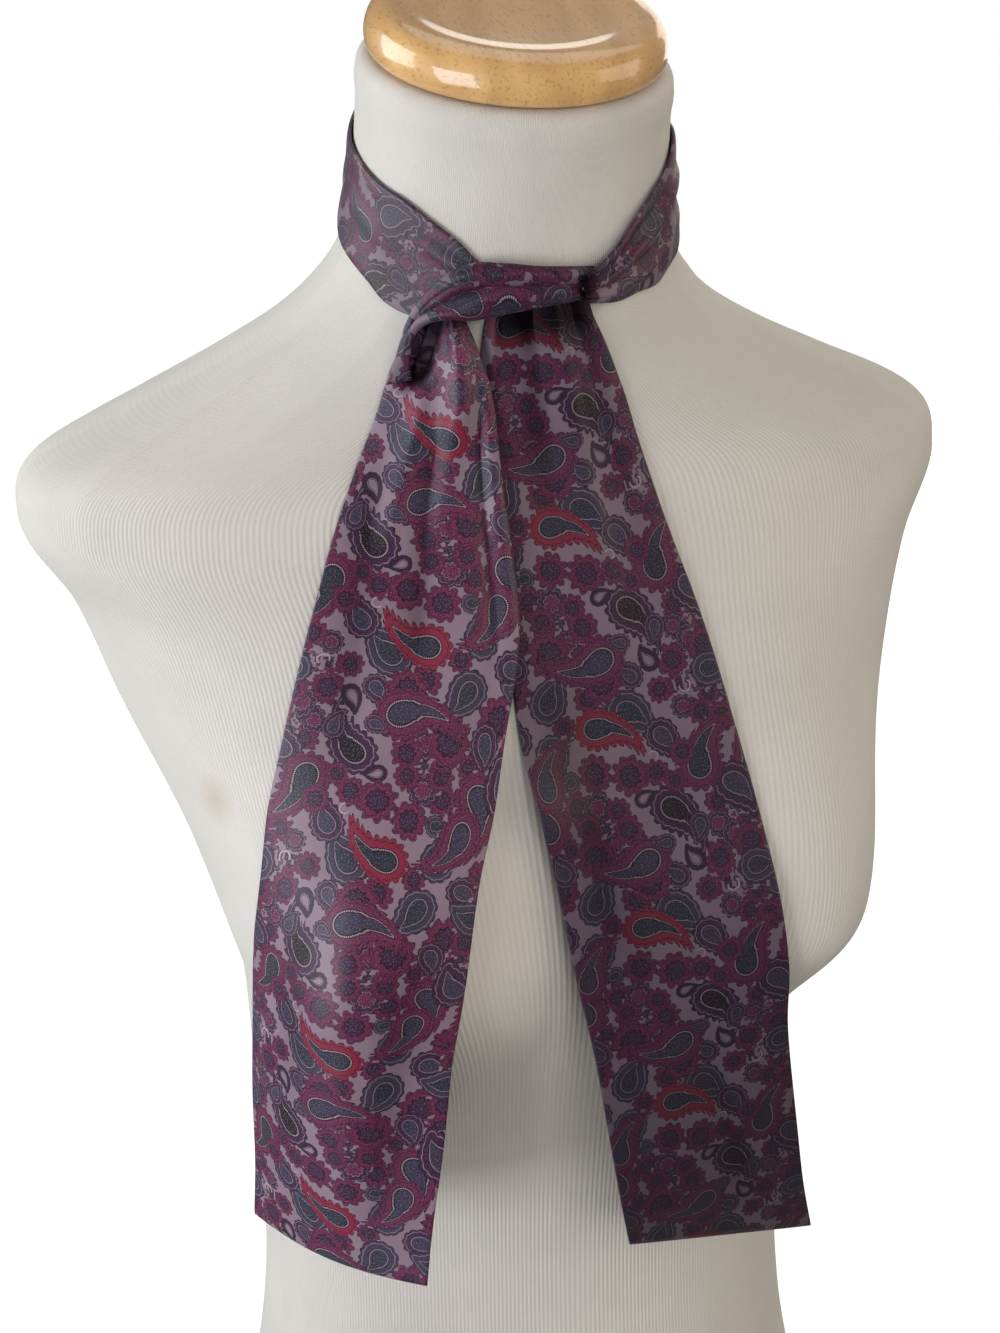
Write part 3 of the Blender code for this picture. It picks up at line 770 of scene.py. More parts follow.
def outline_table(outline):
    """Outline of a motif on even angles from its tip: its distance, the share of its
    length passed, and how squarely it crosses the ray from the middle."""
    reach = np.array(OUTLINES[outline], float)
    turn = np.linspace(0, math.pi, len(reach))
    fine = np.linspace(0, math.pi, 721)
    distance = eased(turn, reach, fine)
    slope = np.gradient(distance, fine) / distance
    step = np.hypot(np.diff(distance * np.cos(fine)), np.diff(distance * np.sin(fine)))
    length = np.concatenate([[0], np.cumsum(step)])
    return fine, distance, length / length[-1], 1 / np.sqrt(1 + slope**2)


def motif_depth(x, y, outline):
    """Signed distance out of a motif, in half widths: the distance from its middle less its
    outline's at that angle, times how squarely the outline crosses the ray."""
    fine, distance, _, square = outline_table(outline)
    curl = CURLS[outline]
    away = np.hypot(x, y)
    turn = np.arctan2(y, x) + curl * (away - distance[0])
    turn = np.abs((turn + math.pi) % (2 * math.pi) - math.pi)
    return (away - np.interp(turn, fine, distance)) * np.interp(turn, fine, square)


def chart_print(mesh, corner_uv):
    """Stores which two motifs lie uppermost on each face, as UV maps: the corners' places
    in each motif's own frame, and the number of its kind. The cloth repeats, so each
    motif is taken at the repeat nearest to the face."""
    total = numbers_of(mesh.polygons, "loop_total")
    start = numbers_of(mesh.polygons, "loop_start")
    centre = np.add.reduceat(corner_uv, start, axis=0) / total[:, None]
    repeat = np.array([PRINT_LENGTH, PRINT_WIDTH])
    kinds = list(KINDS)
    table = named(MOTIF_COLUMNS, [row[:-1] for row in MOTIFS])
    middle = np.stack([table["along"], table["across"]], axis=-1)
    turn = np.radians(table["turn"])
    code = np.array([kinds.index(row[-1]) for row in MOTIFS], float)
    upper = np.full(len(centre), -1)
    lower = np.full(len(centre), -1)
    for i, row in enumerate(MOTIFS):
        away = centre - middle[i]
        away -= repeat * np.round(away / repeat)
        size = table["size"][i]
        x = (away[:, 0] * math.cos(turn[i]) + away[:, 1] * math.sin(turn[i])) / size
        y = (away[:, 1] * math.cos(turn[i]) - away[:, 0] * math.sin(turn[i])) / size
        inside = motif_depth(x, y, KINDS[row[-1]][0]) * size < MOTIF_MARGIN
        lower = np.where(inside, upper, lower)
        upper = np.where(inside, i, upper)
    face = np.repeat(np.arange(len(total)), total)
    for layer, chosen in (("upper", upper), ("lower", lower)):
        away = centre - middle[chosen]
        shift = repeat * np.round(away / repeat)
        away = corner_uv - (middle[chosen] + shift)[face]
        angle = turn[chosen][face]
        size = table["size"][chosen][face]
        x = (away[:, 0] * np.cos(angle) + away[:, 1] * np.sin(angle)) / size
        y = (away[:, 1] * np.cos(angle) - away[:, 0] * np.sin(angle)) / size
        none = (chosen < 0)[face]
        place = np.stack([np.where(none, NO_MOTIF, x), np.where(none, NO_MOTIF, y)], axis=-1)
        kind = np.stack([code[chosen][face], np.zeros(len(face))], axis=-1)
        add_uv(mesh, layer + "_place", place)
        add_uv(mesh, layer + "_kind", kind)


class Value:
    """One shader number. The usual operators add a Math node each."""

    def __init__(self, graph, socket):
        self.graph = graph
        self.socket = socket

    def math(self, operation, *others):
        return self.graph.node("ShaderNodeMath", {"operation": operation}, [self, *others])

    def __abs__(self):
        return self.math("ABSOLUTE")

    def within(self):
        """The number held between nought and one."""
        return self.math("MINIMUM", 1.0).math("MAXIMUM", 0.0)


def add_operators():
    """The operators and their reflected forms, one Math node each."""

    def pair(operation):
        def straight(self, other):
            return self.math(operation, other)

        def reflected(self, other):
            settings = {"operation": operation}
            return self.graph.node("ShaderNodeMath", settings, [other, self])

        return straight, reflected

    for name, operation in (
        ("add", "ADD"),
        ("sub", "SUBTRACT"),
        ("mul", "MULTIPLY"),
    ):
        straight, reflected = pair(operation)
        setattr(Value, f"__{name}__", straight)
        setattr(Value, f"__r{name}__", reflected)
    Value.__gt__ = pair("GREATER_THAN")[0]
    Value.__lt__ = pair("LESS_THAN")[0]


add_operators()


class Graph:
    """The nodes of one tree, and the few calls that make them."""

    def __init__(self, tree):
        self.tree = tree

    def node(self, kind, settings=None, inputs=(), out=0):
        """A node of a kind: its settings first (a ramp's stops among them), then the values
        or links of its sockets, in order or by name."""
        node = self.tree.nodes.new(kind)
        for name, value in (settings or {}).items():
            if name == "stops":
                self.set_stops(node.color_ramp, value)
            elif name == "interpolation":
                node.color_ramp.interpolation = value
            else:
                setattr(node, name, value)
        pairs = inputs.items() if isinstance(inputs, dict) else enumerate(inputs)
        for key, value in pairs:
            self.feed(node.inputs[key], value)
        return None if out is None else Value(self, node.outputs[out])

    def feed(self, socket, value):
        if isinstance(value, Value):
            self.tree.links.new(value.socket, socket)
        else:
            if socket.type == "RGBA" and len(value) == 3:
                value = (*value, 1.0)
            socket.default_value = value

    def set_stops(self, ramp, stops):
        """The ramp's stops: place and colour of each, over the two that it comes with."""
        while len(ramp.elements) < len(stops):
            ramp.elements.new(0.5)
        for element, (place, colour) in zip(ramp.elements, stops):
            element.position = place
            element.color = colour

    def mix(self, factor, a, b):
        """Colour a where the factor is nought, and b where it is one."""
        settings = {"data_type": "RGBA", "clamp_factor": True}
        return self.node("ShaderNodeMix", settings, {0: factor, 6: a, 7: b}, 2)

    def vector(self, operation, *inputs):
        out = 1 if operation == "LENGTH" else 0
        return self.node("ShaderNodeVectorMath", {"operation": operation}, inputs, out)

    def noise(self, place, scale, detail=2.0, roughness=0.5):
        inputs = {"Vector": place, "Scale": scale, "Detail": detail, "Roughness": roughness}
        return self.node("ShaderNodeTexNoise", {}, inputs)

    def wave(self, place, size, direction, distortion=0.0):
        """Bands of one period per size, as a number from nought to one."""
        settings = {"wave_type": "BANDS", "bands_direction": direction, "wave_profile": "SIN"}
        scale = 2 * math.pi / (20 * size)
        inputs = {"Vector": place, "Scale": scale, "Distortion": distortion}
        return self.node("ShaderNodeTexWave", settings, inputs, 1)

    def bump(self, height, strength, distance, under=None):
        inputs = {"Strength": strength, "Distance": distance, "Height": height}
        if under is not None:
            inputs["Normal"] = under
        return self.node("ShaderNodeBump", {}, inputs)

    def uv(self, name):
        return self.node("ShaderNodeUVMap", {"uv_map": name})

    def object_place(self):
        return self.node("ShaderNodeTexCoord", {}, (), 3)

    def parts(self, vector):
        """The first number of a vector. The others are its node's other outputs."""
        return self.node("ShaderNodeSeparateXYZ", {}, [vector])

    def channels(self, colour):
        """The red of a colour. Green and blue are its node's other outputs."""
        return self.node("ShaderNodeSeparateColor", {}, [colour])

    def ramp(self, at, interpolation, stops):
        settings = {"interpolation": interpolation, "stops": stops}
        return self.node("ShaderNodeValToRGB", settings, [at])

    def other(self, value, out):
        """Another output of the node that a value comes from."""
        return Value(self, value.socket.node.outputs[out])


class Finish(Graph):
    """The nodes of one new material, round the shader that it comes with."""

    def __init__(self, name):
        self.material = bpy.data.materials.new(name)
        self.material.use_nodes = True
        super().__init__(self.material.node_tree)
        self.shader = self.tree.nodes["Principled BSDF"]

    def done(self, sockets):
        for name, value in sockets.items():
            self.feed(self.shader.inputs[name], value)
        return self.material


def outline_stops(outline):
    """Ramp stops of an outline: red is its distance, green the share of its length passed
    and blue how squarely it crosses the ray."""
    fine, distance, passed, square = outline_table(outline)
    at = np.linspace(0, math.pi, 26)
    stops = [np.interp(at, fine, column) for column in (distance / OUTLINE_SCALE, passed, square)]
    return [(a / math.pi, (r, g, b, 1)) for a, r, g, b in zip(at, *(s.tolist() for s in stops))]


def by_kind(graph, kind, values):
    """A ramp with one even step for each kind, which gives that kind's colour or number."""
    stops = []
    for i, value in enumerate(values):
        colour = (*value, 1) if hasattr(value, "__len__") else (value, value, value, 1)
        stops.append((i / len(values), colour))
    at = (kind + 0.5) * (1 / len(values))
    return graph.ramp(at, "CONSTANT", stops)


def band_ramp(graph, depth, bands):
    """A ramp of the bands inwards: red is border, green the fine line and blue the core."""
    stops = [(0.0, (*bands[0][1], 1))]
    for before, band in zip(bands, bands[1:]):
        stops.append((before[0] / DEEPEST, (*band[1], 1)))
    return graph.ramp(depth * (1 / DEEPEST), "CONSTANT", stops)


def motif_group(colours):
    """Lays one motif over the colour beneath. Its polar angle is curled with distance, and
    the distance out of the outline gives the scalloped edge, the nested bands, which grow
    even towards the core, the rows of dots in the border and the ring of beads."""
    group = bpy.data.node_groups.new("paisley_motif", "ShaderNodeTree")
    for name, kind in (
        ("Place", "Vector"), ("Kind", "Float"), ("Wobble", "Float"),
        ("Under", "Color"), ("Dots", "Float"),
    ):
        group.interface.new_socket(name, in_out="INPUT", socket_type="NodeSocket" + kind)
    group.interface.new_socket("Colour", in_out="OUTPUT", socket_type="NodeSocketColor")
    graph = Graph(group)
    place = graph.node("NodeGroupInput")
    kind, wobble, under, dots = (graph.other(place, out) for out in range(1, 5))
    rows = [dict(zip(KIND_COLUMNS, row)) for row in KINDS.values()]

    def of_kind(column):
        return by_kind(graph, kind, [row[column] for row in rows])

    def coloured(column):
        return by_kind(graph, kind, [colours[row[column]] for row in rows])

    def where(tests):
        return by_kind(graph, kind, [float(test) for test in tests])

    leafy = where(row["outline"] == "leaf" for row in rows)
    round_ = where(row["outline"] == "blossom" for row in rows)

    def chosen(paisley, leaf, blossom):
        return paisley + leafy * (leaf - paisley) + round_ * (blossom - paisley)

    x = graph.parts(place)
    y = graph.other(x, 1)
    away = graph.vector("LENGTH", place)
    curl = chosen(*CURLS.values())
    tip = chosen(*(reach[0] for reach in OUTLINES.values()))
    turn = y.math("ARCTAN2", x) + curl * (away - tip)
    turn = abs(turn.math("WRAP", math.pi, -math.pi)) * (1 / math.pi)
    ramps = [graph.ramp(turn, "LINEAR", outline_stops(name)) for name in OUTLINES]
    outline = graph.mix(round_, graph.mix(leafy, ramps[0], ramps[1]), ramps[2])
    reach = graph.channels(outline)
    passed = graph.other(reach, 1)
    square = graph.other(reach, 2)
    out = (away - reach * OUTLINE_SCALE) * square
    waves = passed * (chosen(*SCALLOPS.values()) * math.pi)
    depth = of_kind("scallop")
    edge = out - abs(waves.math("SINE")) * depth + wobble * (1 + round_ * BLOSSOM_WOBBLE)
    even = depth * MEAN_SCALLOP - out
    settled = (even * SETTLING).within() * (1 - round_ * BLOSSOM_SCALLOP)
    inward = even * settled - edge * (1 - settled)
    beaded = of_kind("beaded")
    plain, ringed = (band_ramp(graph, inward, rows) for rows in (PLAIN_BANDS, BEADED_BANDS))
    bands = graph.mix(beaded, plain, ringed)
    border = graph.channels(bands)
    line = graph.other(border, 1)
    core = graph.other(border, 2)
    colour = graph.mix(border, colours["ink"], coloured("border"))
    colour = graph.mix(line, colour, coloured("line"))
    colour = graph.mix(core, colour, coloured("core"))
    beads = passed * chosen(*BEADS.values())
    gap = abs(beads.math("FRACT") - 0.5) * BEAD_GAP
    pearl = (abs(inward - BEAD_DEPTH) + gap) < BEAD_RADIUS
    dotted = of_kind("dotted")
    colour = graph.mix(dots * dotted * border * DOT_SHARE, colour, colours["dot"])
    colour = graph.mix(dots * core * CORE_DOT_SHARE, colour, colours["lilac"])
    colour = graph.mix(pearl * beaded, colour, colours["pearl"])
    hooked = where(name == "hook" for name in KINDS)
    open_ring = inward.math("COMPARE", 0.16, 0.16) * (x > -0.35)
    cover = (edge < 0.0) * (1 - hooked) + open_ring * hooked
    graph.node("NodeGroupOutput", {}, [graph.mix(cover, under, colour)], None)
    return group


def silk_print(settings, name, shade, far_shade):
    """Printed silk satin: nested paisleys over a mauve ground, a fine twill weave in the
    colour and the bump, and a soft sheen. Three shades are painted on the cloth after the
    photograph, in place of light: shade darkens all its colours, far_shade darkens them
    further towards the hem, and the hollow map paints shade into creases and tucked ends.
    The hollow map also feeds Metallic, which takes the gloss off those dark places."""
    graph = Finish(name)
    uv = graph.uv("cloth")
    ground = tuple(settings.ground)
    chosen = ("burgundy", "plum", "slate", "teal", "red", "pearl")
    colours = {
        **{colour: tuple(getattr(settings, colour)) for colour in chosen},
        "mauve": ground,
        "wine": (0.040, 0.008, 0.020),
        "ink": (0.014, 0.007, 0.014),
        "dot": (0.34, 0.13, 0.21),
        "lilac": tuple(c * 1.1 for c in ground),
    }
    wobble = (graph.noise(uv, 0.30, 2.0) - 0.5) * 0.20
    patches = graph.noise(uv, 0.035, 2.0)
    dull, fresh = ([c * share for c in ground] for share in (0.80, 1.15))
    colour = graph.mix(patches, dull, fresh)
    inputs = {"Vector": uv, "Scale": 1.05, "Randomness": 1.0}
    cells = graph.node("ShaderNodeTexVoronoi", {"voronoi_dimensions": "2D"}, inputs)
    dots = cells < 0.20
    group = motif_group(colours)
    for layer in ("lower", "upper"):
        place = graph.uv(layer + "_place")
        kind = graph.parts(graph.uv(layer + "_kind"))
        inputs = [place, kind, wobble, colour, dots]
        colour = graph.node("ShaderNodeGroup", {"node_tree": group}, inputs)
    across = graph.wave(uv, 0.36, "X", 0.4)
    along = graph.wave(uv, 0.30, "Y", 0.3)
    twill = graph.wave(uv, 0.52, "DIAGONAL", 0.2)
    weave = across * 0.4 + along * 0.25 + twill * 0.35
    place = graph.parts(graph.object_place())
    # Painted shade: shade darkens all colours, far_shade darkens them further towards the hem
    far = (graph.other(place, 2) - HEM_START).math("MULTIPLY", -1 / HEM_FADE).within()
    colour = graph.mix((1 - shade) + far * (shade - far_shade), colour, SHADE_COLOUR)
    # Painted shade from the hollow map, in the creases and at the tucked ends
    hollow = graph.parts(graph.uv("hollow"))
    colour = graph.mix(hollow, colour, SHADE_COLOUR)
    colour = graph.mix(weave * 0.22, colour, (0.008, 0.005, 0.008))
    slub = graph.noise(uv, 0.9, 3.0)
    rough = settings.silk_roughness + (slub - 0.5) * 0.12
    height = graph.bump(weave, 0.35, 0.00012)
    height = graph.bump(graph.noise(uv, 0.10, 3.0), 0.16, 0.0012, height)
    return graph.done({
        "Base Color": colour,
        "Roughness": rough,
        "Metallic": hollow,
        "Normal": height,
        "Sheen Weight": 0.08,
        "Sheen Roughness": 0.35,
        "Specular IOR Level": 0.50,
    })


def rib_jersey(settings):
    """Ivory rib jersey: fine upright ribs and stitches in bump and colour, with slow
    changes of tone where the knit is stretched or handled."""
    graph = Finish("ivory_rib_jersey")
    uv = graph.uv("cloth")
    ivory = tuple(settings.ivory)
    ribs = graph.wave(uv, settings.rib_pitch, "X", 0.25)
    courses = graph.wave(uv, 0.9, "Y", 0.6)
    slow = graph.noise(uv, 0.018, 3.0)
    fuzz = graph.noise(uv, 1.6, 4.0, 0.65)
    deep = tuple(c * 0.80 for c in ivory)
    bright = tuple(min(1.0, c * 1.05) for c in ivory)
    colour = graph.mix(slow, deep, bright)
    shade = (1 - ribs) * 0.10 + (1 - courses) * 0.03 + fuzz * 0.05
    colour = graph.mix(shade, colour, (0.34, 0.30, 0.25))
    knit = ribs * 0.75 + courses * 0.15 + fuzz * 0.2
    height = graph.bump(knit, 0.55, 0.00035)
    height = graph.bump(slow, 0.25, 0.004, height)
    place = graph.object_place()
    spot = form_points(-145.5, 424.0) * MM
    away = graph.vector("LENGTH", graph.vector("SUBTRACT", place, tuple(spot.tolist())))
    stain = (1 - away * (1 / 0.011)).math("MAXIMUM", 0.0) * (0.35 + fuzz * 0.3)
    colour = graph.mix(stain, colour, (0.52, 0.40, 0.26))
    rough = 0.82 + (fuzz - 0.5) * 0.15
    return graph.done({
        "Base Color": colour,
        "Roughness": rough,
        "Normal": height,
        "Sheen Weight": 0.12,
    })


def varnished_wood(settings):
    """Turned light wood under varnish: long wavering grain in deeper honey, slow darker
    streaks, darker pores, and a clear coat with faint waves."""
    graph = Finish("varnished_wood")
    place = graph.object_place()
    turned = graph.node(
        "ShaderNodeMapping",
        {},
        {"Vector": place, "Rotation": (0.14, 0.05, math.radians(62)), "Scale": (1.0, 0.16, 1.0)},
    )
    bend = graph.noise(turned, 26.0, 2.0)
    grain = graph.node(
        "ShaderNodeTexWave",
        {"wave_type": "BANDS", "bands_direction": "X"},
        {"Vector": turned, "Scale": 34.0, "Distortion": 7.0, "Detail": 3.0, "Detail Scale": 1.2},
        1,
    )
    pores = graph.noise(turned, 900.0, 2.0, 0.6)
    honey = tuple(settings.honey)
    deep = tuple(c * f for c, f in zip(honey, (0.74, 0.66, 0.56)))
    colour = graph.mix(grain * 0.55, honey, deep)
    colour = graph.mix(bend * 0.35, colour, (0.66, 0.42, 0.20))
    colour = graph.mix((pores > 0.60) * 0.30, colour, (0.24, 0.12, 0.05))
    height = graph.bump(grain * 0.4 + pores * 0.3, 0.12, 0.0004)
    waves = graph.noise(place, 60.0, 1.0)
    rough = 0.30 + pores * 0.12
    height = graph.bump(waves, 0.05, 0.001, height)
    return graph.done({
        "Base Color": colour,
        "Roughness": rough,
        "Normal": height,
        "Coat Weight": 0.9,
        "Coat Roughness": 0.07,
    })


def matte_floor():
    """Pale studio floor with a barely seen mottle."""
    graph = Finish("studio_floor")
    place = graph.object_place()
    mottle = graph.noise(place, 3.0, 3.0)
    colour = graph.mix(mottle, (0.20, 0.20, 0.20), (0.22, 0.22, 0.22))
    return graph.done({
        "Base Color": colour,
        "Roughness": 0.75 + mottle * 0.1,
        "Emission Color": (1.0, 1.0, 1.0),
        "Emission Strength": 0.97,
    })


class ScarfSettings(PropertyGroup):
    """Sizes and colours that a user may change before the pieces are made."""

    tail_wall: FloatProperty(
        name="Tail wall", description="Thickness of the two sewn layers of a tail",
        default=TAIL_WALL * MM, min=0.001, max=0.003, unit="LENGTH", precision=4,
    )
    band_wall: FloatProperty(
        name="Band wall", description="Thickness of the folded cloth round the neck",
        default=BAND_WALL * MM, min=0.001, max=0.003, unit="LENGTH", precision=4,
    )
    wrap_wall: FloatProperty(
        name="Wrap wall", description="Thickness of the gathered cloth across the throat",
        default=WRAP_WALL * MM, min=0.001, max=0.004, unit="LENGTH", precision=4,
    )
    rib_pitch: FloatProperty(
        name="Rib pitch", description="Distance between two ribs of the jersey in millimetres",
        default=1.35, min=0.5, max=4.0,
    )
    silk_roughness: FloatProperty(
        name="Silk roughness", description="How wide the sheen of the silk spreads",
        default=0.46, min=0.1, max=1.0, subtype="FACTOR",
    )
    form_rings: IntProperty(
        name="Form rings", description="Rings of the form's smooth skin",
        default=FORM_GRID[0], min=60, max=340,
    )


COLOURS = (
    ("ground", "Mauve ground of the print", (0.322, 0.222, 0.284)),
    ("burgundy", "Main colour of the motifs", (0.156, 0.021, 0.078)),
    ("plum", "Dark colour of the motifs", (0.052, 0.019, 0.060)),
    ("slate", "Blue grey of the leaves", (0.048, 0.041, 0.082)),
    ("teal", "Blue grey of the cores", (0.028, 0.033, 0.055)),
    ("red", "Border of the brightest paisley", (0.285, 0.020, 0.055)),
    ("pearl", "Beads and hooks", (0.516, 0.372, 0.420)),
    ("ivory", "Jersey of the form", (0.800, 0.753, 0.692)),
    ("honey", "Wood of the neck cap", (0.860, 0.500, 0.190)),
)
for colour_name, what, colour in COLOURS:
    ScarfSettings.__annotations__[colour_name] = FloatVectorProperty(
        name=colour_name.capitalize(), description=what, subtype="COLOR",
        default=colour, min=0, max=1,
    )


def silk(context, name="paisley_silk", shade=1.0, far_shade=1.0):
    """The printed silk for one stretch of the scarf, darkened by its painted shade."""
    return silk_print(context.scene.neck_scarf, name, shade, far_shade)


def add_piece(obj, node):
    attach(obj, "root")
    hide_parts(node)
    return obj


def neck_up():
    """The direction out of the top of the leaning neck."""
    tilt = math.radians(FORM["tilt"][-1])
    return np.array([0, -math.sin(tilt), math.cos(tilt)])


def rim_turns(ring, up, outer):
    """Rings that round a rim over: each is drawn in and moved by a quarter circle."""
    turn = np.linspace(0, math.pi / 2, RIM_STEPS + 1)[1:]
    middle = ring.mean(axis=0)
    arm = ring - middle
    length = np.linalg.norm(arm, axis=-1, keepdims=True)
    pull = RIM_ROUNDING * (1 - np.cos(turn))[:, None, None]
    shift = RIM_ROUNDING * np.sin(turn)[:, None, None] * up * outer
    return middle + arm * (1 - pull / length) + shift


class SCARF_OT_dress_form(Operator):
    """Makes the form's jersey skin, with its soft folds"""

    bl_idname = "scarf.dress_form"
    bl_label = "Dress form"

    def execute(self, context):
        settings = context.scene.neck_scarf
        count = FORM_GRID[1]
        height = FORM["height"]
        fine = np.linspace(height[0], height[-1], PATH_POINTS)
        side = np.hypot(np.diff(fine), np.diff(section("half_width", fine)))
        path = np.concatenate([[0], np.cumsum(side)])
        ends = np.linspace(RIM_ROUNDING, path[-1] - RIM_ROUNDING, settings.form_rings)
        level = np.interp(ends, path, fine)[:, None]
        angle = (np.arange(count) * 360 / count - 180)[None, :]
        skin = form_points(angle, level)
        skin = skin + form_normals(angle, level) * form_folds(angle, level)[..., None]
        foot = rim_turns(skin[0], np.array([0, 0, 1.0]), -1)[::-1]
        foot[0, :, 2] = 0.0
        head = rim_turns(skin[-1], neck_up(), 1)
        rings = np.concatenate([closing(foot[0], 5)[::-1], foot, skin, head, closing(head[-1], 8)])
        faces = ring_quads(len(rings), count)
        obj = new_object("form_skin", rings.reshape(-1, 3), faces, rib_jersey(settings))
        close_poles(obj)
        around = np.arange(count) / count
        steps = np.linalg.norm(np.diff(rings[:, count // 4], axis=0), axis=-1)
        rows = np.concatenate([[0], np.cumsum(steps)])
        u = np.broadcast_to(around * FORM_GIRTH, rings.shape[:2])
        v = np.broadcast_to(rows[:, None], rings.shape[:2])
        wrap_uv(obj.data, np.stack([u, v], axis=-1).reshape(-1, 2), FORM_GIRTH)
        add_piece(obj, "form_body")
        return {"FINISHED"}


def form_folds(angle, level):
    """Lift of the jersey's folds: a bell across each line between its two places, faded
    at the ends, with distances taken in millimetres on the unrolled form."""
    table = named(FORM_FOLD_COLUMNS, FORM_FOLDS)
    turn = (angle + 180) % 360 - 180
    lift = np.zeros(np.broadcast(angle, level).shape)
    for i in range(len(FORM_FOLDS)):
        a = np.array([table["angle_a"][i] * DEGREE_LENGTH, table["height_a"][i]])
        b = np.array([table["angle_b"][i] * DEGREE_LENGTH, table["height_b"][i]])
        line = b - a
        px = turn * DEGREE_LENGTH - a[0]
        pz = level - a[1]
        place = np.clip((px * line[0] + pz * line[1]) / (line @ line), 0, 1)
        away = np.hypot(px - line[0] * place, pz - line[1] * place)
        lift = lift + table["lift"][i] * np.exp(-((away / table["width"][i]) ** 2))
    return lift


def closing(ring, steps):
    """Rings that close a rim inwards to a small hole at its middle."""
    share = np.linspace(1, 0.01, steps + 1)[1:, None, None]
    middle = ring.mean(axis=0)
    return middle + (ring - middle) * share


def close_poles(obj):
    """Fills the small hole at each end with one face, and turns all faces outwards."""
    mesh = bmesh.new()
    mesh.from_mesh(obj.data)
    edges = [edge for edge in mesh.edges if edge.is_boundary]
    bmesh.ops.holes_fill(mesh, edges=edges)
    bmesh.ops.recalc_face_normals(mesh, faces=mesh.faces)
    mesh.to_mesh(obj.data)
    mesh.free()


def wrap_uv(mesh, vertex_uv, girth):
    """Cloth coordinates on the corners, with the seam's corners carried a turn on."""
    start = numbers_of(mesh.polygons, "loop_start")
    total = numbers_of(mesh.polygons, "loop_total")
    face = np.repeat(np.arange(len(start)), total)
    uv = vertex_uv[numbers_of(mesh.loops, "vertex_index")]
    largest = np.maximum.reduceat(uv[:, 0], start)
    smallest = np.minimum.reduceat(uv[:, 0], start)
    seam = (largest - smallest > girth / 2)[face] & (uv[:, 0] < girth / 2)
    uv[seam, 0] += girth
    add_uv(mesh, "cloth", uv)


class SCARF_OT_neck_cap(Operator):
    """Makes the turned and varnished neck cap"""

    bl_idname = "scarf.neck_cap"
    bl_label = "Neck cap"

    def execute(self, context):
        table = named(CAP_COLUMNS, CAP_PROFILE)
        steps = np.hypot(np.diff(table["share"]) * 55, np.diff(table["height"]))
        key = np.concatenate([[0], np.cumsum(steps)])
        at = np.linspace(0, key[-1], CAP_GRID[0])
        share = eased(key, table["share"], at)[:, None, None]
        lift = (eased(key, table["height"], at) + CAP_SEAT_GAP)[:, None, None]
        lift = np.maximum(lift, CAP_SEAT_GAP)
        angle = np.arange(CAP_GRID[1]) * 360 / CAP_GRID[1]
        rim = form_points(angle, FORM["height"][-1])
        middle = rim.mean(axis=0)
        rings = middle + (rim - middle) * share + neck_up() * lift
        faces = ring_quads(CAP_GRID[0], CAP_GRID[1])
        material = varnished_wood(context.scene.neck_scarf)
        obj = new_object("neck_cap", rings.reshape(-1, 3), faces, material)
        close_poles(obj)
        add_piece(obj, "form_neck_cap")
        return {"FINISHED"}


def add_sheet(finish, name, node, surface, wall, uv_start, uv_sign):
    """One stretch of the scarf as a thin shell. The length, width and area of its own
    mid-surface are worked out here, and nothing uses them. A tail is given the scarf's
    width, though the surface is up to 13 mm wider where the left tail bows over the bust."""
    obj = strip_shell(name, surface, wall / MM, uv_start, uv_sign, finish)
    middle = surface[0]
    add_piece(obj, node)
    along, across = cloth_length(middle)
    area = cloth_area(middle)
    return obj


class SCARF_OT_neck_band(Operator):
    """Makes the folded cloth round the neck"""

    bl_idname = "scarf.neck_band"
    bl_label = "Neck band"

    def execute(self, context):
        wall = context.scene.neck_scarf.band_wall
        # Painted shade: the band is the same silk darkened to 0.68
        finish = silk(context, "paisley_silk_band", 0.68, 0.68)
        add_sheet(finish, "neck_band", "scarf_neck_band", band_surface(), wall,
                  (8.0, 12.0), 1)
        return {"FINISHED"}


class SCARF_OT_front_wrap(Operator):
    """Makes the gathered cloth across the throat and over its rolled fold"""

    bl_idname = "scarf.front_wrap"
    bl_label = "Front wrap"

    def execute(self, context):
        wall = context.scene.neck_scarf.wrap_wall
        # Painted shade: the wrap is the same silk darkened to 0.60
        finish = silk(context, "paisley_silk_folded", 0.60, 0.60)
        add_sheet(finish, "front_wrap", "scarf_front_wrap", wrap_surface(), wall,
                  (30.0, 70.0), 1)
        return {"FINISHED"}


class SCARF_OT_tails(Operator):
    """Makes the two hanging tails"""

    bl_idname = "scarf.tails"
    bl_label = "Tails"

    def execute(self, context):
        wall = context.scene.neck_scarf.tail_wall
        left = tail_surface(LEFT_TAIL, LEFT_CREASES, LEFT_TUCK)
        add_sheet(silk(context), "left_tail", "scarf_left_tail", left, wall,
                  (-28.5, 44.0), 1)
        right = tail_surface(RIGHT_TAIL, RIGHT_CREASES, RIGHT_TUCK)
        # Painted shade: the right tail is the same silk darkened to 0.64, and towards its hem to
        # 0.29
        turned = silk(context, "paisley_silk_turned", 0.64, 0.29)
        add_sheet(turned, "right_tail", "scarf_right_tail", right, wall,
                  (28.0, 37.0), -1)
        return {"FINISHED"}


# The floor, in millimetres: half its side, and its level just under the form
FLOOR_REACH = 30000.0
FLOOR_LEVEL = -0.5

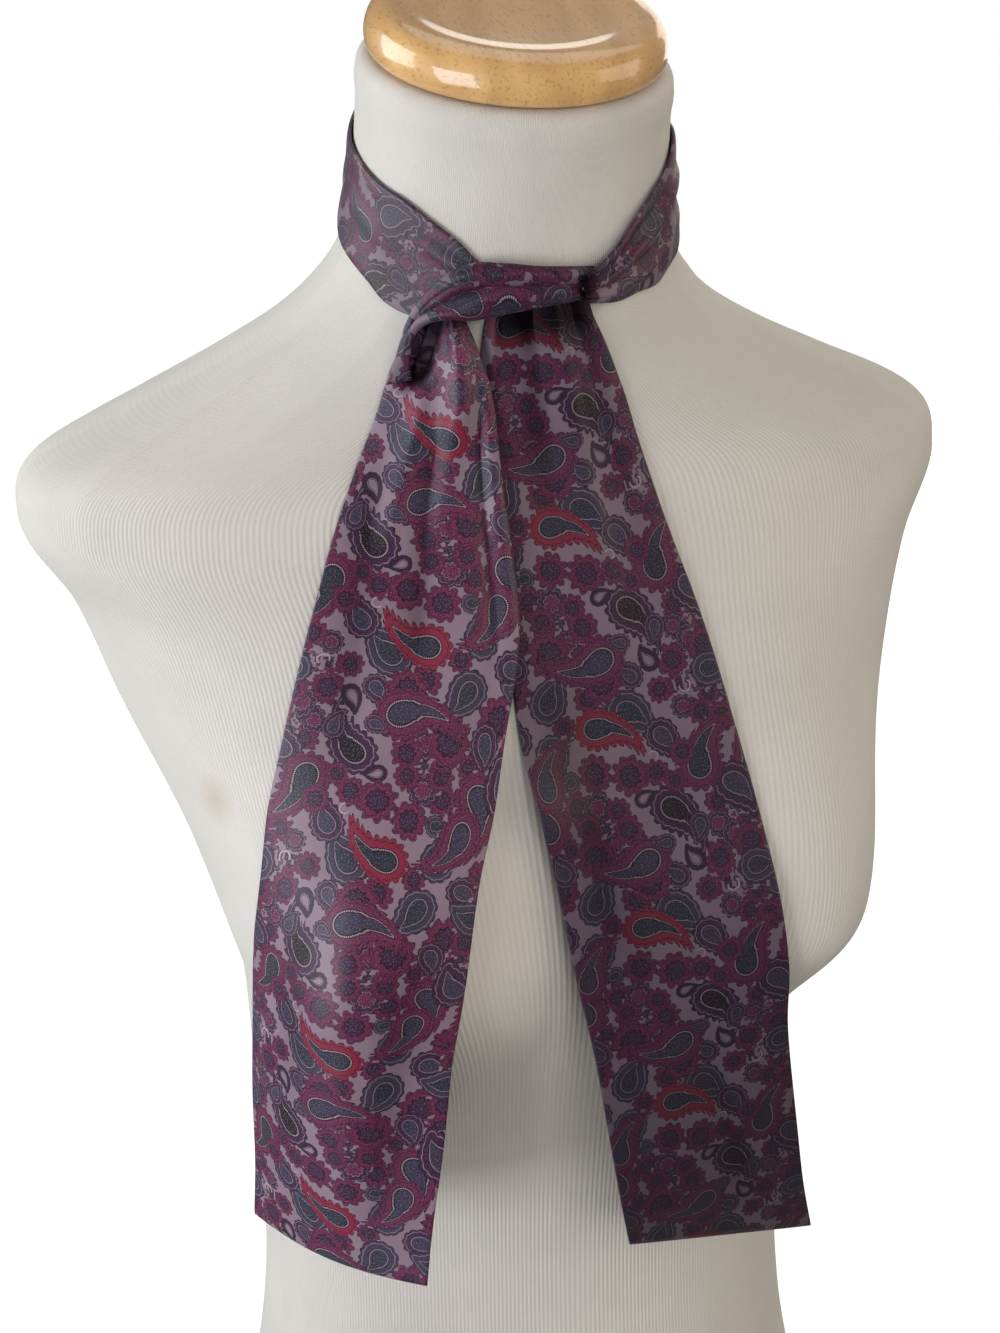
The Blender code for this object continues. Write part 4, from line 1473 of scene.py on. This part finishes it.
# Soft lights: name, place, size in metres, power, colour, and whether gloss shows them
LIGHT_TARGET = (0.0, -0.05, 0.45)
LIGHTS = (
    ("window", (-1.85, -0.95, 0.22), (1.2, 1.3), 36.0, (0.88, 0.93, 1.0), True),
    ("back_window", (-1.6, 0.7, 0.95), (1.2, 1.2), 21.0, (0.95, 0.98, 1.0), True),
    ("side_fill", (-1.2, -1.9, 1.0), (1.2, 1.2), 3.0, (1.0, 0.99, 0.97), False),
    ("warm_fill", (1.8, -0.9, 0.9), (1.4, 1.4), 11.0, (1.0, 0.87, 0.70), True),
    ("front_fill", (0.2, -2.3, 1.45), (1.6, 1.6), 19.0, (1.0, 0.97, 0.95), False),
    ("back_fill", (1.3, 1.7, 1.0), (1.4, 1.4), 12.0, (1.0, 0.92, 0.82), True),
    ("top_fill", (0.4, 0.5, 2.2), (1.4, 1.4), 6.0, (1.0, 0.97, 0.92), True),
)


def area_light(name, place, size, power, colour, glossy):
    light = bpy.data.lights.new(name, "AREA")
    light.shape = "RECTANGLE"
    light.size, light.size_y = size
    light.energy = power
    light.color = colour
    obj = bpy.data.objects.new(name, light)
    bpy.context.scene.collection.objects.link(obj)
    obj.location = place
    aim = Vector(LIGHT_TARGET) - Vector(place)
    obj.rotation_euler = aim.to_track_quat("-Z", "Y").to_euler()
    if not glossy:
        obj.visible_glossy = False


def studio_world():
    """White where the camera sees it, and a soft grey as light on the object."""
    world = bpy.data.worlds.new("studio")
    world.use_nodes = True
    graph = Graph(world.node_tree)
    back = world.node_tree.nodes["Background"]
    seen = graph.node("ShaderNodeLightPath")
    graph.feed(back.inputs["Color"], (1.0, 1.0, 1.0))
    graph.feed(back.inputs["Strength"], seen * 0.88 + 0.12)
    return world


# The camera: turn round the form, pitch down, roll, focal length in the photo's pixels,
# and its place, which puts a neck 110 mm wide where the photo shows it
CAMERA_TURN = -17.0
CAMERA_PITCH = 24.0
CAMERA_ROLL = -0.5
CAMERA_FOCUS = 1950.0
CAMERA_PLACE = (-0.20984, -0.68701, 0.74422)
IMAGE_HEIGHT = 1333
SENSOR = 36.0


class SCARF_OT_stage(Operator):
    """Makes the floor, the soft lights and the camera"""

    bl_idname = "scarf.stage"
    bl_label = "Stage"

    def execute(self, context):
        scene = context.scene
        corners = [
            (x * FLOOR_REACH, y * FLOOR_REACH, FLOOR_LEVEL)
            for x, y in ((-1, -1), (1, -1), (1, 1), (-1, 1))
        ]
        floor = new_object("floor", corners, np.array([[0, 1, 2, 3]]), matte_floor(), False)
        floor.visible_glossy = False
        floor.visible_diffuse = False
        scene.view_settings.view_transform = "Standard"
        for row in LIGHTS:
            area_light(*row)
        scene.world = studio_world()
        turn, pitch, roll = (math.radians(a) for a in (CAMERA_TURN, CAMERA_PITCH, CAMERA_ROLL))
        level = Vector((-math.sin(turn), math.cos(turn), 0))
        ahead = level * math.cos(pitch) - Vector((0, 0, math.sin(pitch)))
        right = Vector((math.cos(turn), math.sin(turn), 0))
        up = right.cross(ahead)
        right, up = (
            math.cos(roll) * right + math.sin(roll) * up,
            math.cos(roll) * up - math.sin(roll) * right,
        )
        lens = bpy.data.cameras.new("camera")
        lens.sensor_width = SENSOR
        lens.lens = SENSOR * CAMERA_FOCUS / IMAGE_HEIGHT
        lens.clip_start = 0.01
        camera = bpy.data.objects.new("camera", lens)
        scene.collection.objects.link(camera)
        axes = Matrix((right, up, -ahead)).transposed()
        camera.matrix_world = Matrix.Translation(CAMERA_PLACE) @ axes.to_4x4()
        scene.camera = camera
        return {"FINISHED"}


OPERATORS = (
    SCARF_OT_dress_form,
    SCARF_OT_neck_cap,
    SCARF_OT_neck_band,
    SCARF_OT_front_wrap,
    SCARF_OT_tails,
    SCARF_OT_stage,
)


class SCARF_PT_sidebar(Panel):
    """Buttons for each piece, and the settings they read"""

    bl_idname = "SCARF_PT_sidebar"
    bl_label = "Neck scarf"
    bl_space_type = "VIEW_3D"
    bl_region_type = "UI"
    bl_category = "Scarf"

    def draw(self, context):
        settings = context.scene.neck_scarf
        for name in settings.bl_rna.properties.keys():
            if name not in {"rna_type", "name"}:
                self.layout.prop(settings, name)
        for operator in OPERATORS:
            self.layout.operator(operator.bl_idname)


CLASSES = (ScarfSettings, *OPERATORS, SCARF_PT_sidebar)


def register():
    for cls in CLASSES:
        bpy.utils.register_class(cls)
    bpy.types.Scene.neck_scarf = PointerProperty(type=ScarfSettings)


def unregister():
    del bpy.types.Scene.neck_scarf
    for cls in reversed(CLASSES):
        bpy.utils.unregister_class(cls)


def main():
    register()
    bpy.ops.scarf.dress_form()
    bpy.ops.scarf.neck_cap()
    bpy.ops.scarf.neck_band()
    bpy.ops.scarf.front_wrap()
    bpy.ops.scarf.tails()
    bpy.ops.scarf.stage()


if __name__ == "__main__":
    main()
